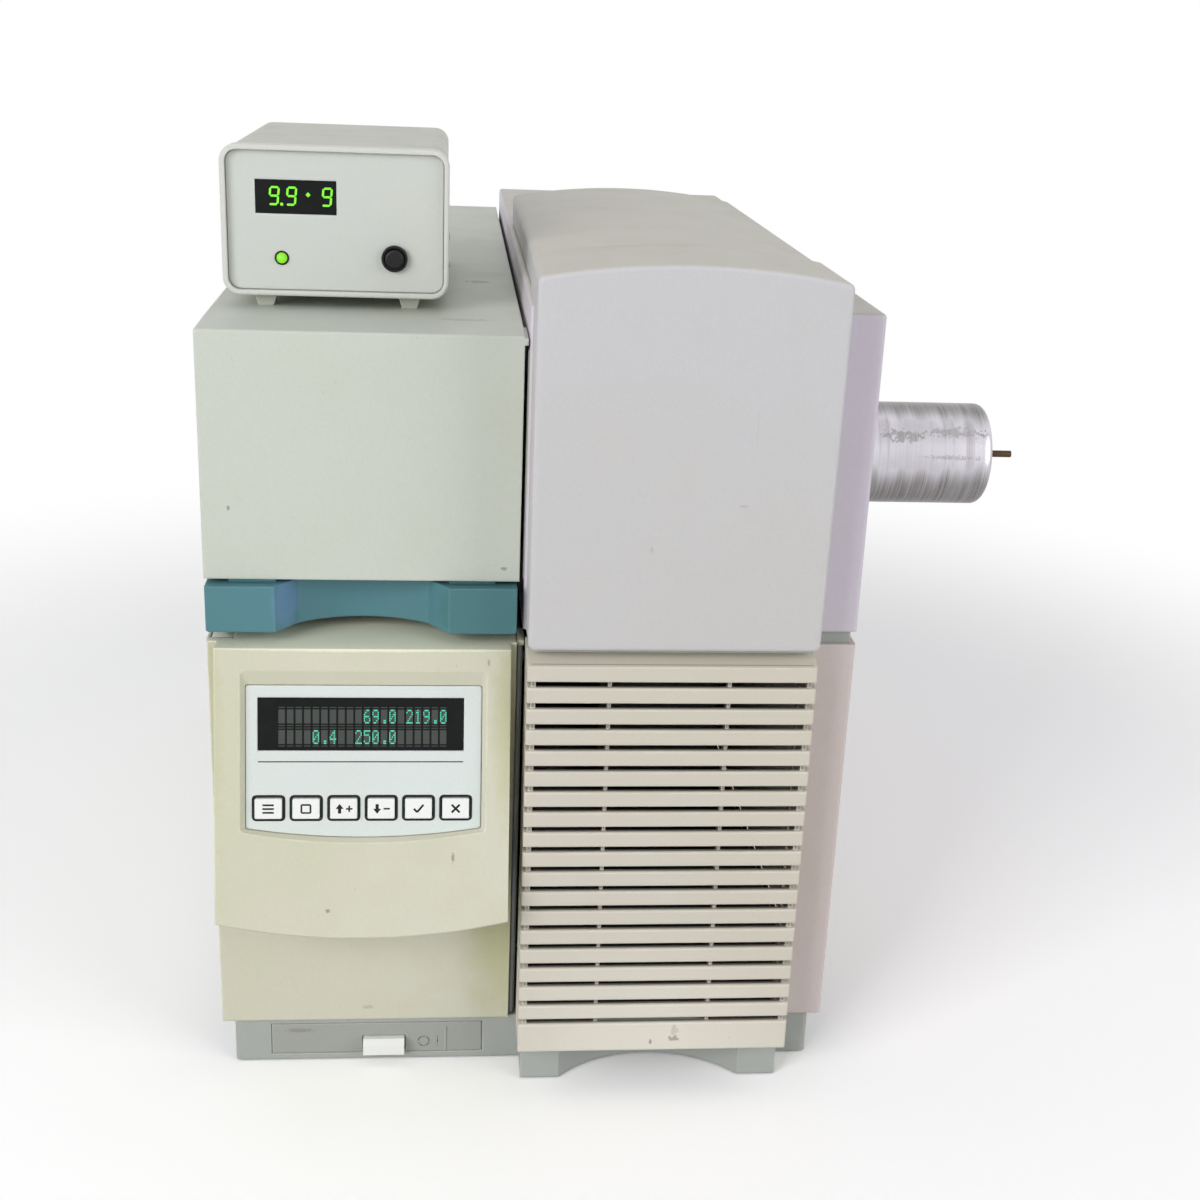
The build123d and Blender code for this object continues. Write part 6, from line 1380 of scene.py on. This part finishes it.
@dataclass
class Trim:
    """Foam strips on the base, and thin strips at the shelf's ends and beside the covers; those beside the
    covers are a dark gray, painted shade in the gaps.
    """

    cover_wall: float = 3.0
    base_inset: float = 6.0
    seal_ends: float = 14.0
    seal_height: float = 4.0
    seal_drop: float = 0.4
    seal_play: float = 0.2
    shelf_middle: float = 12.0
    shelf_length: float = 18.0
    shelf_drop: float = 2.4
    shelf_thick: float = 2.2
    left_end: Flat = (6.6, 10.6)
    right_end: Flat = (1.95, 3.6)
    upper_strip: EdgeStrip = EdgeStrip((1.5, 8.0), (0.77, 5.5), 8.0, 0.3, 0.2)
    lower_strip: EdgeStrip = EdgeStrip((2.8, 20.0), (1.55, 14.0), 4.5, 0.4, 0.3)

    def build(self, dresser: "Dresser") -> None:
        """Lay the foam strips, then the strips of the shelf and of both left covers.

        Args:
            dresser: gives the finishes.
        """
        self.dresser = dresser
        self.upper = np.array(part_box("analyzer_cover")) / MM
        self.lower = np.array(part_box("lower_left_cover")) / MM
        self._seals()
        self._shelf_ends()
        self._edge_strip("cover_edge_strip", self.upper, self.upper_strip, "analyzer_cover")
        self._edge_strip("lower_edge_strip", self.lower, self.lower_strip, "root")

    def _seals(self) -> None:
        """Lay one foam strip along each long side of the base, under the walls above it."""
        base_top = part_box("base_pan")[1][2] / MM
        left = np.array(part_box("left_side_panel")) / MM
        low, high = np.array(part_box("right_lower_housing")) / MM
        length = high[1] - low[1] - self.seal_ends
        middle = (high[1] + low[1]) / 2
        inner = (left[0][0] + self.cover_wall, high[0] - self.cover_wall)
        outer = (left[0][0] + self.base_inset, high[0] - self.base_inset)
        piece = Piece("base_seals")
        for near, far in zip(inner, outer):
            spot = self._lying((near + far) / 2, middle, base_top - self.seal_height - self.seal_drop)
            piece.add(spot.carry(pad(abs(near - far) - self.seal_play, length, 0.5, self.seal_height, 0.4)))
        piece.object(self.dresser.finish("black_plastic"), "root")

    def _shelf_ends(self) -> None:
        """Close both ends of the shelf under the handle with thin strips."""
        low, high = self.lower
        piece = Piece("shelf_end_strip")
        for edge, (middle, width) in ((low[0], self.left_end), (high[0], self.right_end)):
            front = self.upper[0][1] + self.shelf_middle
            spot = self._lying(edge + middle, front, high[2] - self.shelf_drop)
            piece.add(spot.carry(pad(width, self.shelf_length, 0.6, self.shelf_thick, 0.3)))
        piece.object(self.dresser.finish("putty_lower"), "root")

    def _edge_strip(self, name: str, cover: np.ndarray, strip: EdgeStrip, body: str) -> None:
        """Stand a narrow strip at the right end of a cover's front, in a dark gray that is painted shade in
        the gap beside the cover.

        Args:
            name: of the piece.
            cover: the cover's box in millimetres.
            strip: its sizes.
            body: what carries it.
        """
        low, high = cover
        right, back = strip.place
        spot = self._lying(high[0] + right, self.upper[0][1] + back, low[2] + 1.0)
        piece = Piece(name)
        piece.add(spot.carry(pad(*strip.size, strip.radius, high[2] - low[2] - strip.short, strip.soft)))
        # painted shade: the strip's dark gray stands in for the shaded side of the cover
        piece.object(self.dresser.finish("edge_gray"), body)

    @staticmethod
    def _lying(x: float, y: float, z: float) -> Place:
        """Return a level place, whose third axis points up."""
        return Place((x, y, z), up=(0.0, 1.0, 0.0))


# ================================================================ fasteners
class Recess(Enum):
    """Drive of a screw head: how its recess's radius varies round the head."""

    CROSS = 4
    HEX = 6


@dataclass(frozen=True)
class Screw:
    """A pan-head screw: radius and height of the head, and its drive."""

    radius: float = 2.8
    height: float = 1.7
    drive: Recess = Recess.CROSS

    def stack(self, steps: int = 32) -> np.ndarray:
        """Rings of the head: a dome, then a recess whose radius follows its drive.

        Args:
            steps: points round each ring.

        Returns:
            Array (rings, steps, 3) in millimetres, standing on the third axis.
        """
        r, h = self.radius, self.height
        dome = turned_rings([(r, -0.3), (r, h * 0.35), (r * 0.93, h * 0.72), (r * 0.75, h * 0.95)], steps)
        turn = np.linspace(0.0, 2 * math.pi, steps, endpoint=False)
        if self.drive is Recess.CROSS:
            wave = 0.24 + 0.34 * np.abs(np.cos(2.0 * turn)) ** 3
        else:
            wave = 0.44 / np.cos((turn % (math.pi / 3)) - math.pi / 6) * math.cos(math.pi / 6)
        ray = np.stack([np.cos(turn), np.sin(turn)], axis=-1)
        levels = ((1.04, h), (1.0, h * 0.96), (0.72, h * 0.3))
        hole = [
            np.concatenate([ray * (wave * r * k)[:, None], np.full((steps, 1), z)], axis=1)
            for k, z in levels]
        return np.concatenate([dome, np.stack(hole)], axis=0)


@dataclass
class Fasteners:
    """Screws of the cabinet's hidden sides, fan guard, rear connectors and gauge controller."""

    rear_margin: float = 7.0
    guard_inset: float = 4.3
    guard_step: float = 2.0
    connectors: int = 3
    connector_pitch: float = 42.0
    flange_edge: float = 3.0
    body_rise: float = 3.0
    gauge_inset: float = 5.5
    flank_height: float = 11.0
    flank_ends: Flat = (28.0, 24.0)
    base_side: float = 70.0
    base_ends: Flat = (84.0, 44.0)

    def build(self, dresser: "Dresser") -> None:
        """Build every group of screws in order.

        Args:
            dresser: gives the finishes.
        """
        self.dresser = dresser
        self._rear()
        self._connectors()
        self._gauge()
        self._under()

    def _group(self, name: str, screw: Screw, places: Sequence[Place], body: str = "root",
               slot: str = "connector_steel") -> None:
        """Seat one kind of screw at several places and make them one piece.

        Args:
            name: of the piece.
            screw: its kind.
            places: where each head sits, facing outward.
            body: what carries them.
            slot: the record's material slot.
        """
        stack = screw.stack()
        piece = Piece(name)
        for index, place in enumerate(places):
            turn = 0.7 + 1.9 * index
            axes = place.axes()
            right = axes[0] * math.cos(turn) + axes[1] * math.sin(turn)
            up = axes[1] * math.cos(turn) - axes[0] * math.sin(turn)
            piece.add(Place(place.origin, tuple(right), tuple(up)).carry(stack))
        piece.object(self.dresser.finish(slot), body)

    def _rear(self) -> None:
        """Hold the rear panel with six screws and the fan guard with four."""
        low, high = np.array(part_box("rear_panel")) / MM
        face, margin = high[1], self.rear_margin
        xs = (low[0] + margin, high[0] - margin)
        zs = (low[2] + margin, (low[2] + high[2]) / 2, high[2] - margin)
        places = [Place((x, face, z), *BACKWARD) for x in xs for z in zs]
        self._group("rear_panel_screws", Screw(), places)
        frame = np.array(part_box("fan_frame")) / MM
        middle = (frame[0] + frame[1]) / 2
        reach = (frame[1][0] - frame[0][0]) / 2 - self.guard_inset
        back = min(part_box("fan_guard")[1][1] / MM, face + self.guard_step)
        places = [
            Place((middle[0] + right * reach, back, middle[2] + up * reach), *BACKWARD)
            for right in (-1, 1) for up in (-1, 1)]
        self._group("fan_guard_screws", Screw(3.0, 1.4), places)

    def _connectors(self) -> None:
        """Give each rear connector's flange its two hexagonal jack posts."""
        low, high = np.array(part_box("rear_connectors")) / MM
        face, z = high[1] - self.body_rise, (low[2] + high[2]) / 2
        half = (high[0] - low[0] - (self.connectors - 1) * self.connector_pitch) / 2
        spread = half - self.flange_edge
        places = [
            Place((low[0] + half + index * self.connector_pitch + side * spread, face, z), *BACKWARD)
            for index in range(self.connectors) for side in (-1, 1)]
        self._group("connector_posts", Screw(2.4, 3.6, Recess.HEX), places)

    def _gauge(self) -> None:
        """Hold the gauge controller's rear panel and its case sides."""
        low, high = np.array(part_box("gauge_rear_panel")) / MM
        inset = self.gauge_inset
        places = [
            Place((x, high[1], z), *BACKWARD)
            for x in (low[0] + inset, high[0] - inset) for z in (low[2] + inset, high[2] - inset)]
        self._group("gauge_rear_screws", Screw(2.0, 1.2), places, "analyzer_cover")
        low, high = np.array(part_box("gauge_case")) / MM
        z = low[2] + self.flank_height
        ys = (low[1] + self.flank_ends[0], high[1] - self.flank_ends[1])
        places = [Place((low[0], y, z), *LEFTWARD) for y in ys]
        places += [Place((high[0], y, z), *RIGHTWARD) for y in ys]
        self._group("gauge_case_screws", Screw(2.2, 1.2), places, "analyzer_cover")

    def _under(self) -> None:
        """Hold the base pan from below."""
        low, high = np.array(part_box("base_pan")) / MM
        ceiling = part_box("rubber_feet")[1][2] / MM
        xs = (low[0] + self.base_side, high[0] - self.base_side)
        ys = (low[1] + self.base_ends[0], high[1] - self.base_ends[1])
        places = [Place((x, y, ceiling), *DOWNWARD) for x in xs for y in ys]
        self._group("base_screws", Screw(3.2, 1.6), places)


def main() -> None:
    """Dress the modelled parts and build the fine pieces, in order."""
    logging.basicConfig(level=logging.INFO, format="%(message)s", stream=sys.stdout)
    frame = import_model()
    Studio().build()
    dresser = Dresser(frame)
    dresser.dress_parts()
    for section in (ControlPanel(), PowerInsert(), GaugeFace(), Trim(), Fasteners()):
        section.build(dresser)


if __name__ == "__main__":
    main()
